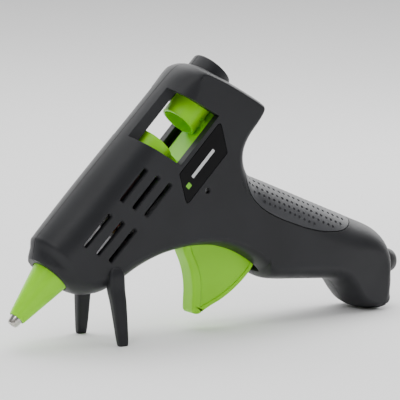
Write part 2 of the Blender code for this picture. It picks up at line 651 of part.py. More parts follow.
def half_casing(name, side):
    """One half of the casing. side is -1 for the left and +1 for the right."""
    tag = "left" if side < 0 else "right"
    inner = HALF_THICKNESS - WALL
    body = place(name, finish_mesh(shell_body(0.0, 0, 0, 5), name), CHARCOAL)
    near, far = side * (PARTING / 2.0), side * 40.0

    def across(first, second):
        """Two distances from the parting plane, in rising order for this side."""
        return min(side * first, side * second), max(side * first, side * second)

    def side_slab(label, outline, first, second):
        low, high = across(first, second)
        return slab(f"{tag}_{label}", outline, low, high)

    def side_block(label, x_range, first, second, z_range):
        low, high = across(first, second)
        return block(f"{tag}_{label}", (x_range[0], low, z_range[0]), (x_range[1], high, z_range[1]))

    def side_rod(label, at, radius, first, second, segments=20):
        low, high = across(first, second)
        return rod(f"{tag}_{label}", radius, (at[0], low, at[1]), (at[0], high, at[1]), segments=segments)

    collar = rod(f"{tag}_collar", COLLAR_RADIUS, (131.0, 0, 0), (COLLAR_END, 0, 0), segments=32)
    join(body, collar, leg(f"{tag}_leg", side))
    cut(body, shell_solid(f"{tag}_cavity", WALL, 4, 3, 4))

    # Guides and bosses inside.
    guide = side_block("guide", (89.0, 130.0), GUIDE_HALF_WIDTH - 1.6, GUIDE_HALF_WIDTH + 1.0,
                       (WINDOW_ROOF, 14.3))
    frame = side_slab("window_frame", window_outline(1.8, WINDOW_ROOF - 2.0),
                      HALF_THICKNESS - REVEAL_DEPTH, HALF_THICKNESS - 1.2)
    rail_top = carriage_floor() - CARRIAGE_PLATE_THICKNESS - RAIL_GAP
    rail = side_block("rail", (86.0, 131.5), CARRIAGE_PLATE_HALF_WIDTH - 1.0, inner + 0.8,
                      (rail_top - 1.4, rail_top))
    inlet_tube = rod(f"{tag}_inlet_tube", STICK_RADIUS + STICK_CLEARANCE + 2.2, (131.2, 0, 0),
                     (141.0, 0, 0), segments=32)
    pivot_boss = side_rod("pivot_boss", PIVOT, HUB_RADIUS, TRIGGER_PAD_HALF_WIDTH + TRIGGER_SIDE_GAP + 0.2,
                          inner + 0.8)
    join(body, guide, frame, rail, inlet_tube, pivot_boss)
    for support, start in SUPPORTS.items():
        for edge, low in (("front", start - GAP - 1.0), ("back", start + SUPPORT_THICKNESS + GAP)):
            join(body, side_block(f"{support}_{edge}_rib", (low, low + 1.0), inner - 2.2, inner + 0.8,
                                  (-9.0, 1.5)))
    for screw, (x, z, seat, short) in SCREWS.items():
        at = handle_stretch(x, z)
        join(body, side_rod(f"{screw}_boss", at, SCREW_BOSS_RADIUS, 0.0, HALF_THICKNESS - short))
    if side > 0:
        peg = (PIVOT[0] + 5.6, PIVOT[1] + 6.3)
        join(body, side_rod("spring_peg", peg, 1.0, TRIGGER_WEB_HALF_WIDTH + GAP, inner + 0.8, 12))

    # Openings and seats.
    bore = STICK_RADIUS + STICK_CLEARANCE
    inlet = turned(f"{tag}_inlet", [
        (COLLAR_END + 1.0, 0.0), (COLLAR_END + 1.0, bore + 4.4), (COLLAR_END - 3.4, bore),
        (130.0, bore), (130.0, 0.0),
    ], steps=32)
    flange = SLEEVE_BASE_RADIUS + FLANGE_LIP + GAP
    neck = turned(f"{tag}_sleeve_seat", [
        (SLEEVE_END + 1.0, 0.0), (SLEEVE_END + 1.0, SLEEVE_TAIL_RADIUS + 0.5),
        (SLEEVE_FLANGE[1] + GAP, SLEEVE_TAIL_RADIUS + 0.5), (SLEEVE_FLANGE[1] + GAP, flange),
        (SLEEVE_FLANGE[0] - GAP, flange), (SLEEVE_FLANGE[0] - GAP, SLEEVE_BASE_RADIUS + GAP),
        (25.0, SLEEVE_BASE_RADIUS + GAP), (25.0, 0.0),
    ], steps=32)
    recess = side_slab("window_recess", window_outline(0.0, WINDOW_TOP), GUIDE_HALF_WIDTH, 20.0)
    slot = side_slab("trigger_slot", [
        (72.4, -29.0), (72.4, -43.0), (60.0, -60.0), (60.0, -79.2), (89.0, -79.2), (97.0, -78.6),
        (101.0, -74.0), (101.0, -29.0),
    ], -1.0, TRIGGER_PAD_HALF_WIDTH + TRIGGER_SIDE_GAP)
    label = side_slab("label_seat", fillet(grown(LABEL_OUTLINE, GAP), LABEL_RADIUS + GAP),
                      HALF_THICKNESS - LABEL_THICKNESS - GAP, 20.0)
    pin_bore = side_rod("pin_bore", PIVOT, PIN_RADIUS + PIN_CLEARANCE, -1.0, PIN_HALF_LENGTH + GAP)
    pin_eye = side_rod("pin_eye", PIVOT, PIN_RADIUS - 0.2, 1.0, 20.0)
    cut(body, inlet, neck, recess, slot, label, pin_bore, pin_eye)
    for height, set_back in VENT_ROWS.items():
        for number, start in enumerate(VENT_STARTS):
            outline = vent_outline(start + set_back, height)
            cut(body, side_slab(f"vent_{number}_{int(10 * height)}", outline, inner - 1.0, 20.0))
    for screw, (x, z, seat, short) in SCREWS.items():
        at = handle_stretch(x, z)
        if side > 0:
            cut(body, side_rod(f"{screw}_hole", at, SCREW_SHANK_RADIUS + GAP, -1.0, seat + 1.0, 16),
                side_rod(f"{screw}_seat", at, SCREW_HEAD_RADIUS + GAP, seat, 20.0, 16))
        else:
            cut(body, side_rod(f"{screw}_hole", at, SCREW_SHANK_RADIUS + GAP, -1.0, seat + 1.5, 16))
    gland_hole = rod(f"{tag}_gland_hole", GLAND_NECK + GAP, (GLAND_SEAT - 9.0, 0, GLAND_HEIGHT),
                     (GLAND_SEAT + 4.0, 0, GLAND_HEIGHT), frame=STAND, segments=24)
    gland_room = rod(f"{tag}_gland_room", GLAND_FLANGE - 0.3, (GLAND_SEAT - 18.0, 0, GLAND_HEIGHT),
                     (GLAND_SEAT - 3.0, 0, GLAND_HEIGHT), frame=STAND, segments=24)
    grip_cut = grip_zone(f"{tag}_grip_zone", GAP)
    grip_core = shell_solid(f"{tag}_grip_core", GRIP_DEPTH + GAP, 7, 3)
    boolean(grip_cut, grip_core, "DIFFERENCE")
    bench = block(f"{tag}_bench", (-90.0, -60.0, -30.0), (200.0, 60.0, 0.0), frame=STAND)
    low, high = min(near, -far), max(near, -far)
    other_half = block(f"{tag}_other_half", (-20.0, low, -220.0), (260.0, high, 60.0))
    cut(body, gland_hole, gland_room, grip_cut, bench, other_half)
    return body


def grip_pad():
    """The soft grip: one piece over the back of the handle, let into both halves."""
    pad = grip_zone("grip_pad", 0.0)
    CUTTERS.objects.unlink(pad)
    PARTS.objects.link(pad)
    pad.hide_render = False
    pad.display_type = "TEXTURED"
    pad.data.materials.append(SOFT_GREY)
    boolean(pad, shell_solid("grip_outer", 0.0, 7, 0), "INTERSECT")
    cut(pad, shell_solid("grip_inner", GRIP_DEPTH, 7, 3))


# ---------------------------------------------------------------- nozzle and heater


def nozzle():
    """Plated nozzle: a small flat tip, a shoulder and a threaded tail."""
    turned("nozzle", [
        (19.0, 2.4), (12.2, 2.4), (12.2, 3.3), (8.0, 3.3), (8.0, 2.9), (3.6, 2.9),
        (0.5, NOZZLE_TIP_RADIUS + 0.1), (0.0, NOZZLE_TIP_RADIUS), (0.0, 1.3), (0.7, 1.0),
        (4.0, 1.0), (6.0, 1.5), (19.0, 1.5), (19.0, 2.4),
    ], CHROME, steps=24)


def nozzle_sleeve():
    """Green sleeve that keeps fingers off the hot nozzle."""
    lip = SLEEVE_BASE_RADIUS + FLANGE_LIP
    turned("nozzle_sleeve", [
        (SLEEVE_END, SLEEVE_TAIL_RADIUS - 0.2), (SLEEVE_FLANGE[1], SLEEVE_TAIL_RADIUS),
        (SLEEVE_FLANGE[1], lip), (SLEEVE_FLANGE[0], lip), (SLEEVE_FLANGE[0], SLEEVE_BASE_RADIUS),
        (SLEEVE_BASE, SLEEVE_BASE_RADIUS), (SLEEVE_START + 1.0, SLEEVE_TIP_RADIUS + 0.3),
        (SLEEVE_START + 0.3, SLEEVE_TIP_RADIUS), (SLEEVE_START, SLEEVE_TIP_RADIUS - 0.5),
        (SLEEVE_START, 3.25), (7.6, 3.25), (7.6, 3.7), (12.6, 3.7), (12.6, 4.0),
        (CHAMBER_SHOULDER - 0.4, 4.2), (CHAMBER_SHOULDER - 0.4, CHAMBER_RADIUS + 0.35),
        (SLEEVE_END, CHAMBER_RADIUS + 0.35), (SLEEVE_END, SLEEVE_TAIL_RADIUS - 0.2),
    ], GREEN, steps=32)


def melt_chamber():
    """Aluminium chamber that melts the stick, with a flat saddle for the heater under it."""
    chamber = turned("melt_chamber", [
        (CHAMBER_END, CHAMBER_TAIL_RADIUS), (CHAMBER_TAIL, CHAMBER_TAIL_RADIUS),
        (CHAMBER_TAIL, CHAMBER_RADIUS), (CHAMBER_SHOULDER, CHAMBER_RADIUS),
        (CHAMBER_SHOULDER, 3.6), (CHAMBER_FRONT, 3.6), (CHAMBER_FRONT, 2.7), (19.5, 2.7),
        (22.5, STICK_RADIUS + 0.3), (CHAMBER_END, STICK_RADIUS + 0.3),
        (CHAMBER_END, CHAMBER_TAIL_RADIUS),
    ], ALUMINIUM, steps=24)
    saddle = block("saddle", (HEATER[0] + 0.5, -4.6, saddle_face()), (HEATER[1] - 0.5, 4.6, -4.4))
    join(chamber, saddle)


def saddle_face():
    """Flat underside of the chamber's saddle."""
    return -(CHAMBER_RADIUS + 1.2)


def heater_stack():
    """The heating tablet between two contact strips, with an insulating sheet under it."""
    start, end = HEATER
    half = HEATER_HALF_WIDTH
    top = saddle_face() - GAP
    layers = (
        ("contact_upper", STRIP_THICKNESS, BRASS, half, 4.0),
        ("heating_tablet", PTC_THICKNESS, CERAMIC, half + 0.4, -1.5),
        ("contact_lower", STRIP_THICKNESS, BRASS, half, 4.0),
        ("mica_sheet", STRIP_THICKNESS, MICA, half + 1.0, 0.5),
    )
    for name, thickness, finish, half_width, longer in layers:
        block(name, (start + 1.0, -half_width, top - thickness),
              (end - 1.0 + longer * 0.5, half_width, top), finish)
        top -= thickness + GAP
    return top


def heater_clip(floor):
    """Bent spring strip that clamps the heater stack to the chamber."""
    side = HEATER_HALF_WIDTH + 2.4
    under = floor - CLIP_THICKNESS / 2.0
    path = [(3.9, 5.4), (side, 3.2), (side, under), (-side, under), (-side, 3.2), (-3.9, 5.4)]
    bm = bmesh.new()
    for (y, z), (y_next, z_next) in zip(path, path[1:]):
        corners = [(44.0, y, z), (56.0, y, z), (56.0, y_next, z_next), (44.0, y_next, z_next)]
        bm.faces.new([bm.verts.new(corner) for corner in corners])
    clip = place("heater_clip", finish_mesh(bm, "heater_clip"), STEEL)
    wall = clip.modifiers.new("thickness", "SOLIDIFY")
    wall.thickness = CLIP_THICKNESS * MM
    wall.offset = 0.0
    wall.use_even_offset = True


def chamber_supports():
    """Two stiff plates that carry the chamber in slots of the casing."""
    holes = {"front_support": CHAMBER_RADIUS, "rear_support": CHAMBER_TAIL_RADIUS}
    halves = {"front_support": HALF_THICKNESS - WALL - 1.7, "rear_support": HALF_THICKNESS - WALL - 0.7}
    for name, start in SUPPORTS.items():
        half = halves[name]
        outline = [(half, -12.5), (half, 1.5), (half - 3.6, 8.6), (-half + 3.6, 8.6), (-half, 1.5),
                   (-half, -12.5)]
        bm = bmesh.new()
        face = bm.faces.new([bm.verts.new((start, y, z)) for y, z in outline])
        grown = bmesh.ops.extrude_face_region(bm, geom=[face])
        moved = [item for item in grown["geom"] if isinstance(item, bmesh.types.BMVert)]
        bmesh.ops.translate(bm, vec=(SUPPORT_THICKNESS, 0, 0), verts=moved)
        plate = place(name, finish_mesh(bm, name), MICA)
        cut(plate, rod(f"{name}_hole", holes[name] + GAP, (start - 2, 0, 0), (start + 4, 0, 0)))


def feed_sleeve():
    """Silicone tube on the chamber's tail that stops heat and glue going back, and its clamp."""
    start, end = FEED_SLEEVE
    outer = CHAMBER_TAIL_RADIUS + GAP + FEED_SLEEVE_WALL
    turned("feed_sleeve", [
        (end, outer - 0.5), (end - 0.5, outer), (start, outer), (start, CHAMBER_TAIL_RADIUS + GAP),
        (CHAMBER_END + GAP, CHAMBER_TAIL_RADIUS + GAP), (CHAMBER_END + GAP, STICK_RADIUS + 0.2),
        (end, STICK_RADIUS + 0.2), (end, outer - 0.5),
    ], SILICONE)
    bm = bmesh.new()
    ring = outer + GAP + 0.5
    circle = bmesh.ops.create_circle(bm, segments=8, radius=0.5)["verts"]
    bmesh.ops.translate(bm, vec=(ring, 0, 0), verts=circle)
    turn = Matrix.Rotation(math.radians(90.0), 4, "X")
    bmesh.ops.transform(bm, matrix=turn, verts=circle)
    bmesh.ops.spin(bm, geom=bm.verts[:] + bm.edges[:], cent=(0, 0, 0), axis=(0, 0, 1),
                   angle=2 * math.pi, steps=20, use_merge=True)
    lay = Matrix.Translation((start + 1.6, 0, 0)) @ Matrix.Rotation(math.radians(90.0), 4, "Y")
    bmesh.ops.transform(bm, matrix=lay, verts=bm.verts)
    place("sleeve_clamp", finish_mesh(bm, "sleeve_clamp"), STEEL)


# ---------------------------------------------------------------- carriage and trigger


def stick_carriage():
    """Sliding carriage: a front ring, a flat floor and a low rear tube round the stick."""
    floor = carriage_floor()
    under = floor - CARRIAGE_PLATE_THICKNESS
    half = CARRIAGE_PLATE_HALF_WIDTH
    body = block("stick_carriage", (CARRIAGE_RING[0], -half, under), (CARRIAGE_TUBE[1], half, floor),
                 GREEN)
    ring = rod("carriage_ring", CARRIAGE_RING_RADIUS, (CARRIAGE_RING[0], 0, 0),
               (CARRIAGE_RING[1], 0, 0), segments=32)
    web = block("carriage_web", (CARRIAGE_RING[0] + 0.02, -5.2, floor - 0.6),
                (CARRIAGE_RING[1] - 0.02, 5.2, -4.0))
    tube = rod("carriage_tube", CARRIAGE_TUBE_RADIUS, (CARRIAGE_TUBE[0], 0, -CARRIAGE_TUBE_DROP + 0.03),
               (CARRIAGE_TUBE[1] - 0.02, 0, -CARRIAGE_TUBE_DROP + 0.03), segments=32)
    stick = rod("carriage_bore", STICK_RADIUS + STICK_CLEARANCE, (80, 0, 0), (105, 0, 0), segments=24)
    hollow = rod("carriage_hollow", CARRIAGE_TUBE_RADIUS - CARRIAGE_TUBE_WALL,
                 (110, 0, -CARRIAGE_TUBE_DROP + 0.03), (135, 0, -CARRIAGE_TUBE_DROP + 0.03), segments=32)
    play = DRIVE_HEAD_RADIUS + DRIVE_HEAD_GAP
    pocket = block("drive_pocket", (DRIVE_HEAD[0] - play, -3.1, under - 1.0),
                   (DRIVE_HEAD[0] + play + 0.6, 3.1, DRIVE_HEAD[1] + DRIVE_HEAD_RADIUS + 0.5))
    cheeks = []
    for side in (-1, 1):
        low, high = sorted((side * 2.4, side * 4.4))
        cheeks.append(block(f"gripper_cheek_{side}", (GRIPPER_PIN[0] - 1.8, low, floor - 0.5),
                            (GRIPPER_PIN[0] + 1.8, high, GRIPPER_PIN[1] + 1.5)))
    eye = rod("gripper_eye", GRIPPER_PIN_RADIUS + PIN_CLEARANCE, (GRIPPER_PIN[0], -9, GRIPPER_PIN[1]),
              (GRIPPER_PIN[0], 9, GRIPPER_PIN[1]), segments=16)
    join(body, ring, web, tube)
    cut(body, stick, hollow, pocket)
    join(body, *cheeks)
    cut(body, eye)


def stick_gripper():
    """Toothed lever that bites the stick when the carriage moves forward, and its pin."""
    x, z = GRIPPER_PIN
    bite = -STICK_RADIUS - 0.35
    outline = [
        (x + 1.6, z - 1.2), (x + 1.9, z + 0.6), (x + 0.9, bite - 0.9), (x + 0.2, bite),
        (x - 0.5, bite - 0.8), (x - 1.2, bite), (x - 1.9, bite - 0.8), (x - 2.6, bite),
        (x - 3.0, bite - 1.0), (x - 1.7, z - 1.0), (x - 0.4, z - 1.6),
    ]
    gripper = slab("stick_gripper", outline, -2.1, 2.1, GREEN)
    cut(gripper, rod("gripper_bore", GRIPPER_PIN_RADIUS + PIN_CLEARANCE, (x, -4, z), (x, 4, z),
                     segments=16))
    rod("gripper_pin", GRIPPER_PIN_RADIUS, (x, -4.3, z), (x, 4.3, z), STEEL, segments=16)


def trigger():
    """Trigger: a finger pad, a sector web with a raised rim, a hub and the arm that drives."""
    front = [(80.0, -37.2), (75.8, -42.5), (73.8, -48.0), (70.8, -53.2), (66.8, -58.0),
             (62.4, -61.8), (59.8, -64.2)]
    toe = [(59.7, -66.2), (61.2, -68.2), (63.8, -68.8)]
    rim = [(68.0, -70.3), (73.5, -72.6), (79.5, -74.2), (86.0, -75.2), (92.0, -75.4), (96.0, -74.8)]
    hub = [(103.2, -30.0), (99.2, -23.4), (92.0, -26.0)]
    web = slab("trigger", front + toe + rim + hub, -TRIGGER_WEB_HALF_WIDTH, TRIGGER_WEB_HALF_WIDTH,
               GREEN)
    pad_back = [(64.6, -66.2), (68.9, -62.4), (72.9, -58.2), (76.2, -53.0), (78.2, -47.4),
                (81.2, -42.4), (84.5, -38.6)]
    pad = slab("trigger_pad", front + toe + pad_back, -TRIGGER_PAD_HALF_WIDTH, TRIGGER_PAD_HALF_WIDTH)
    inner_rim = [(96.0, -72.2), (92.0, -72.8), (86.2, -72.6), (80.2, -71.6), (74.4, -70.1),
                 (68.6, -67.8), (64.6, -66.0)]
    band = slab("trigger_rim", toe[1:] + rim + inner_rim, -TRIGGER_PAD_HALF_WIDTH + 0.01,
                TRIGGER_PAD_HALF_WIDTH - 0.01)
    hub_end = TRIGGER_PAD_HALF_WIDTH + 0.2
    boss = rod("trigger_hub", HUB_RADIUS, (PIVOT[0], -hub_end, PIVOT[1]), (PIVOT[0], 1.0, PIVOT[1]))
    arm = slab("trigger_arm", [
        (PIVOT[0] - 2.6, PIVOT[1]), (PIVOT[0] + 2.6, PIVOT[1]), (DRIVE_HEAD[0] + 1.5, DRIVE_HEAD[1]),
        (DRIVE_HEAD[0] - 1.5, DRIVE_HEAD[1]),
    ], -2.6, 1.0)
    head = rod("trigger_head", DRIVE_HEAD_RADIUS, (DRIVE_HEAD[0], -2.59, DRIVE_HEAD[1]),
               (DRIVE_HEAD[0], 2.59, DRIVE_HEAD[1]), segments=20)
    spring_room = rod("spring_room", SPRING_ROOM_RADIUS, (PIVOT[0], 1.3, PIVOT[1]), (PIVOT[0], 9.0, PIVOT[1]),
                      segments=24)
    bore = rod("trigger_bore", PIN_RADIUS + PIN_CLEARANCE, (PIVOT[0], -9, PIVOT[1]),
               (PIVOT[0], 9, PIVOT[1]), segments=24)
    join(web, pad, band, boss, arm, head)
    cut(web, spring_room, bore)
    rod("trigger_pin", PIN_RADIUS, (PIVOT[0], -PIN_HALF_LENGTH, PIVOT[1]),
        (PIVOT[0], PIN_HALF_LENGTH, PIVOT[1]), STEEL, segments=24)


def return_spring():
    """Torsion spring round the trigger's pin: three turns and two legs."""
    wire_radius = 0.35
    coil_radius = PIN_RADIUS + 0.35 + wire_radius + 0.3
    turns = 3.25
    start_y, pitch = 1.85, 0.8
    count = 40
    end_angle = math.radians(200.0)
    points = []
    for step in range(count + 1):
        share = step / count
        angle = end_angle - share * turns * 2.0 * math.pi
        points.append((
            PIVOT[0] + coil_radius * math.cos(angle),
            start_y + share * turns * pitch,
            PIVOT[1] + coil_radius * math.sin(angle),
        ))
    first = Vector(points[0])
    last = Vector(points[-1])
    start_run = (first - Vector(points[1])).normalized()
    end_run = (last - Vector(points[-2])).normalized()
    lead_in = [tuple(first + start_run * reach_out) for reach_out in (2.2, 1.1)]
    lead_out = [tuple(last + end_run * reach_out) for reach_out in (3.0, 6.5)]
    wire("return_spring", lead_in + points + lead_out, wire_radius, STEEL)


# ---------------------------------------------------------------- fasteners, leads and trim


def casing_screws():
    """Self-tapping screws, driven from the right half into bosses of the left."""
    for name, (x, z, seat, short) in SCREWS.items():
        at_x, at_z = handle_stretch(x, z)
        base = seat + GAP
        top = base + SCREW_HEAD_HEIGHT
        screw = turned(name, [
            (top, 0.0), (top, SCREW_HEAD_RADIUS - 0.7), (top - 0.5, SCREW_HEAD_RADIUS),
            (base, SCREW_HEAD_RADIUS), (base, SCREW_SHANK_RADIUS), (-seat, SCREW_SHANK_RADIUS),
            (-seat - 1.0, 0.0),
        ], STEEL, steps=16, axis="Y", centre=(at_x, 0.0, at_z))
        for arm, (across, along) in enumerate(((1.5, 0.35), (0.35, 1.5))):
            cut(screw, block(f"{name}_drive_{arm}", (at_x - across, top - 1.0, at_z - along),
                             (at_x + across, top + 1.0, at_z + along)))


def side_labels():
    """Glossy plates let into each side under the window."""
    outline = fillet(LABEL_OUTLINE, LABEL_RADIUS)
    inner = HALF_THICKNESS - LABEL_THICKNESS
    slab("label_left", outline, -HALF_THICKNESS, -inner, GLOSS_BLACK)
    slab("label_right", outline, inner, HALF_THICKNESS, GLOSS_BLACK)


def cord_gland():
    """Rubber gland in the end of the handle, with an open bore for the cord."""
    seat = GLAND_SEAT
    inner_face = seat - 3.3
    turned("cord_gland", [
        (seat + GLAND_LENGTH, GLAND_BORE + 0.6), (seat + GLAND_LENGTH - 0.4, GLAND_BORE + 1.3),
        (seat + 2.2, GLAND_FLANGE - 0.3), (seat + 1.2, GLAND_FLANGE), (seat, GLAND_FLANGE),
        (seat, GLAND_NECK), (inner_face, GLAND_NECK), (inner_face, GLAND_FLANGE - 0.6),
        (inner_face - 2.0, GLAND_FLANGE - 0.6), (inner_face - 2.0, GLAND_BORE),
        (seat + GLAND_LENGTH, GLAND_BORE), (seat + GLAND_LENGTH, GLAND_BORE + 0.6),
    ], RUBBER, frame=STAND, steps=24, centre=(0.0, 0.0, GLAND_HEIGHT))


def heater_leads():
    """Two insulated leads from the contact strips down the handle, each with its crimp."""
    floor = saddle_face() - GAP - STRIP_THICKNESS / 2.0
    lower = floor - STRIP_THICKNESS - PTC_THICKNESS - 2.0 * GAP
    routes = {
        "lead_live": (1, floor, LEAD_RED),
        "lead_neutral": (-1, lower, LEAD_WHITE),
    }
    for name, (side, height, finish) in routes.items():
        y = side * 8.0
        handle = [handle_stretch(*point) for point in ((113.0, -62.0), (120.0, -82.0), (127.0, -98.0))]
        knots = [
            (62.2, side * 2.4, height), (62.8, side * 3.4, height - 2.4), (63.0, side * 5.4, -13.4),
            (67.0, side * 7.2, -16.4), (78.0, y, -17.8), (94.0, y, -17.6), (104.0, y, -17.8),
            (109.4, y, -21.5), (111.6, y, -29.0), (111.0, y, -42.0),
            (handle[0][0], y - side * 1.2, handle[0][1]),
            (handle[1][0], side * 5.0, handle[1][1]), (handle[2][0], side * 4.0, handle[2][1]),
        ]
        path = smooth_path(knots, 4.0)
        wire(name, path, LEAD_RADIUS, finish)
        end = path[-1]
        run = (path[-1] - path[-2]).normalized()
        rod(name.replace("lead", "crimp"), LEAD_RADIUS + 0.7, end + run * GAP, end + run * 9.0, BRASS,
            segments=12)


def build():
    """Make every piece of the gun."""
    half_casing("left_casing", -1)
    half_casing("right_casing", 1)
    grip_pad()
    nozzle()
    nozzle_sleeve()
    melt_chamber()
    floor = heater_stack()
    heater_clip(floor)
    chamber_supports()
    feed_sleeve()
    stick_carriage()
    stick_gripper()
    trigger()
    return_spring()
    casing_screws()
    side_labels()
    cord_gland()
    heater_leads()


build()
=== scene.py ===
"""Mini hot glue gun: the finished look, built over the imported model.

Shapes are drawn in millimetres in the gun's own frame, x from the nozzle's tip along the barrel,
y across and z away from the handle, and are turned into the world when each piece is finished.
The standing frame, X along the bench and Z up, serves the legs, the gland and the handle.
"""

import logging
import math
from dataclasses import dataclass, field
from enum import Enum
from typing import Iterable, Sequence

import bmesh
import bpy
from mathutils import Matrix, Vector


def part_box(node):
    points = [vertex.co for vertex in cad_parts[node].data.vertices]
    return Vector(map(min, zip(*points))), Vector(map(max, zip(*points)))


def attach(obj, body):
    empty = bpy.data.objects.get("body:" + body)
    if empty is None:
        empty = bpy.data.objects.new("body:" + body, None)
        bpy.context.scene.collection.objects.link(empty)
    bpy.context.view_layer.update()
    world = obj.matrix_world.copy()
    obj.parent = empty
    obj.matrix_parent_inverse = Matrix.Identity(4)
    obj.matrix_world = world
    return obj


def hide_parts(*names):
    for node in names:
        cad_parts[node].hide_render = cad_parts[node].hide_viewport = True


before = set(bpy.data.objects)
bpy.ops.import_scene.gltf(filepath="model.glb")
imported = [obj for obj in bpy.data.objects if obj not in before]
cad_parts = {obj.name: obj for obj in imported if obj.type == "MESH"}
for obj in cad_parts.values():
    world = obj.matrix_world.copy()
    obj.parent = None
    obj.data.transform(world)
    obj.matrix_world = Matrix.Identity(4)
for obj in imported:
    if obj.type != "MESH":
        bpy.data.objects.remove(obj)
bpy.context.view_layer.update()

LOG = logging.getLogger("glue_gun")
MM = 0.001
Point = tuple[float, float]
Colour = tuple[float, float, float]

PIVOT: Point = (99.2, -27.3)


# ------------------------------------------------------------------ frames


class Frame(Enum):
    """The two drawing frames."""

    GUN = "gun"
    STANDING = "standing"


class Layout:
    """How the gun stands: the barrel's pitch and the places that tie both frames to the world."""

    TILT = math.radians(45.25)
    TIP = Vector((-43.8, 11.1))
    TIP_RADIUS = 2.1

    @classmethod
    def middle(cls) -> float:
        """Standing X of the world's origin, from where the nozzle's rim lies in the world."""
        rim = cls.TIP.x - cls.TIP_RADIUS * math.sin(cls.TILT)
        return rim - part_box("nozzle")[0].x / MM

    @classmethod
    def to_gun(cls, x: float, z: float) -> Vector:
        """Turn a standing point into the gun frame.

        Args:
            x: standing X.
            z: standing Z.

        Returns:
            The point's x and z in the gun frame.
        """
        dx, dz = x - cls.TIP.x, z - cls.TIP.y
        cos, sin = math.cos(cls.TILT), math.sin(cls.TILT)
        return Vector((dx * cos + dz * sin, -dx * sin + dz * cos))

    @classmethod
    def matrix(cls, frame_name: Frame) -> Matrix:
        """World matrix of a drawing frame, millimetres to metres.

        Args:
            frame_name: the frame a mesh was drawn in.

        Returns:
            The matrix that puts that mesh in the world.
        """
        shift = Matrix.Translation((-cls.middle(), 0.0, 0.0))
        if frame_name is Frame.GUN:
            tip = Matrix.Translation((cls.TIP.x, 0.0, cls.TIP.y))
            shift = shift @ tip @ Matrix.Rotation(-cls.TILT, 4, "Y")
        return Matrix.Scale(MM, 4) @ shift


# ------------------------------------------------------------------ shader tools


class Value:
    """A shader socket that takes part in Python arithmetic."""

    def __init__(self, paint: "Paint", socket: bpy.types.NodeSocket) -> None:
        """Wrap a socket of a paint's node tree."""
        self.paint = paint
        self.socket = socket

    def _math(self, operation: str, first: object, second: object) -> "Value":
        """Add one Math node and return its result."""
        made = self.paint.node("ShaderNodeMath", {"operation": operation}, {0: first, 1: second})
        return Value(self.paint, made.outputs[0])

    def __add__(self, other: object) -> "Value":
        """Sum."""
        return self._math("ADD", self, other)

    __radd__ = __add__

    def __sub__(self, other: object) -> "Value":
        """Difference."""
        return self._math("SUBTRACT", self, other)

    def __rsub__(self, other: object) -> "Value":
        """Reflected difference, for 1 - mask."""
        return self._math("SUBTRACT", other, self)

    def __mul__(self, other: object) -> "Value":
        """Product."""
        return self._math("MULTIPLY", self, other)

    __rmul__ = __mul__

    def least(self, other: object) -> "Value":
        """The smaller of two values."""
        return self._math("MINIMUM", self, other)

    def between(self, low: float, high: float) -> "Value":
        """Smooth step from 0 at low to 1 at high.

        Args:
            low: value that gives 0.
            high: value that gives 1.

        Returns:
            The stepped value.
        """
        settings = {"interpolation_type": "SMOOTHSTEP"}
        inputs = {"Value": self, "From Min": low, "From Max": high}
        made = self.paint.node("ShaderNodeMapRange", settings, inputs)
        return Value(self.paint, made.outputs[0])


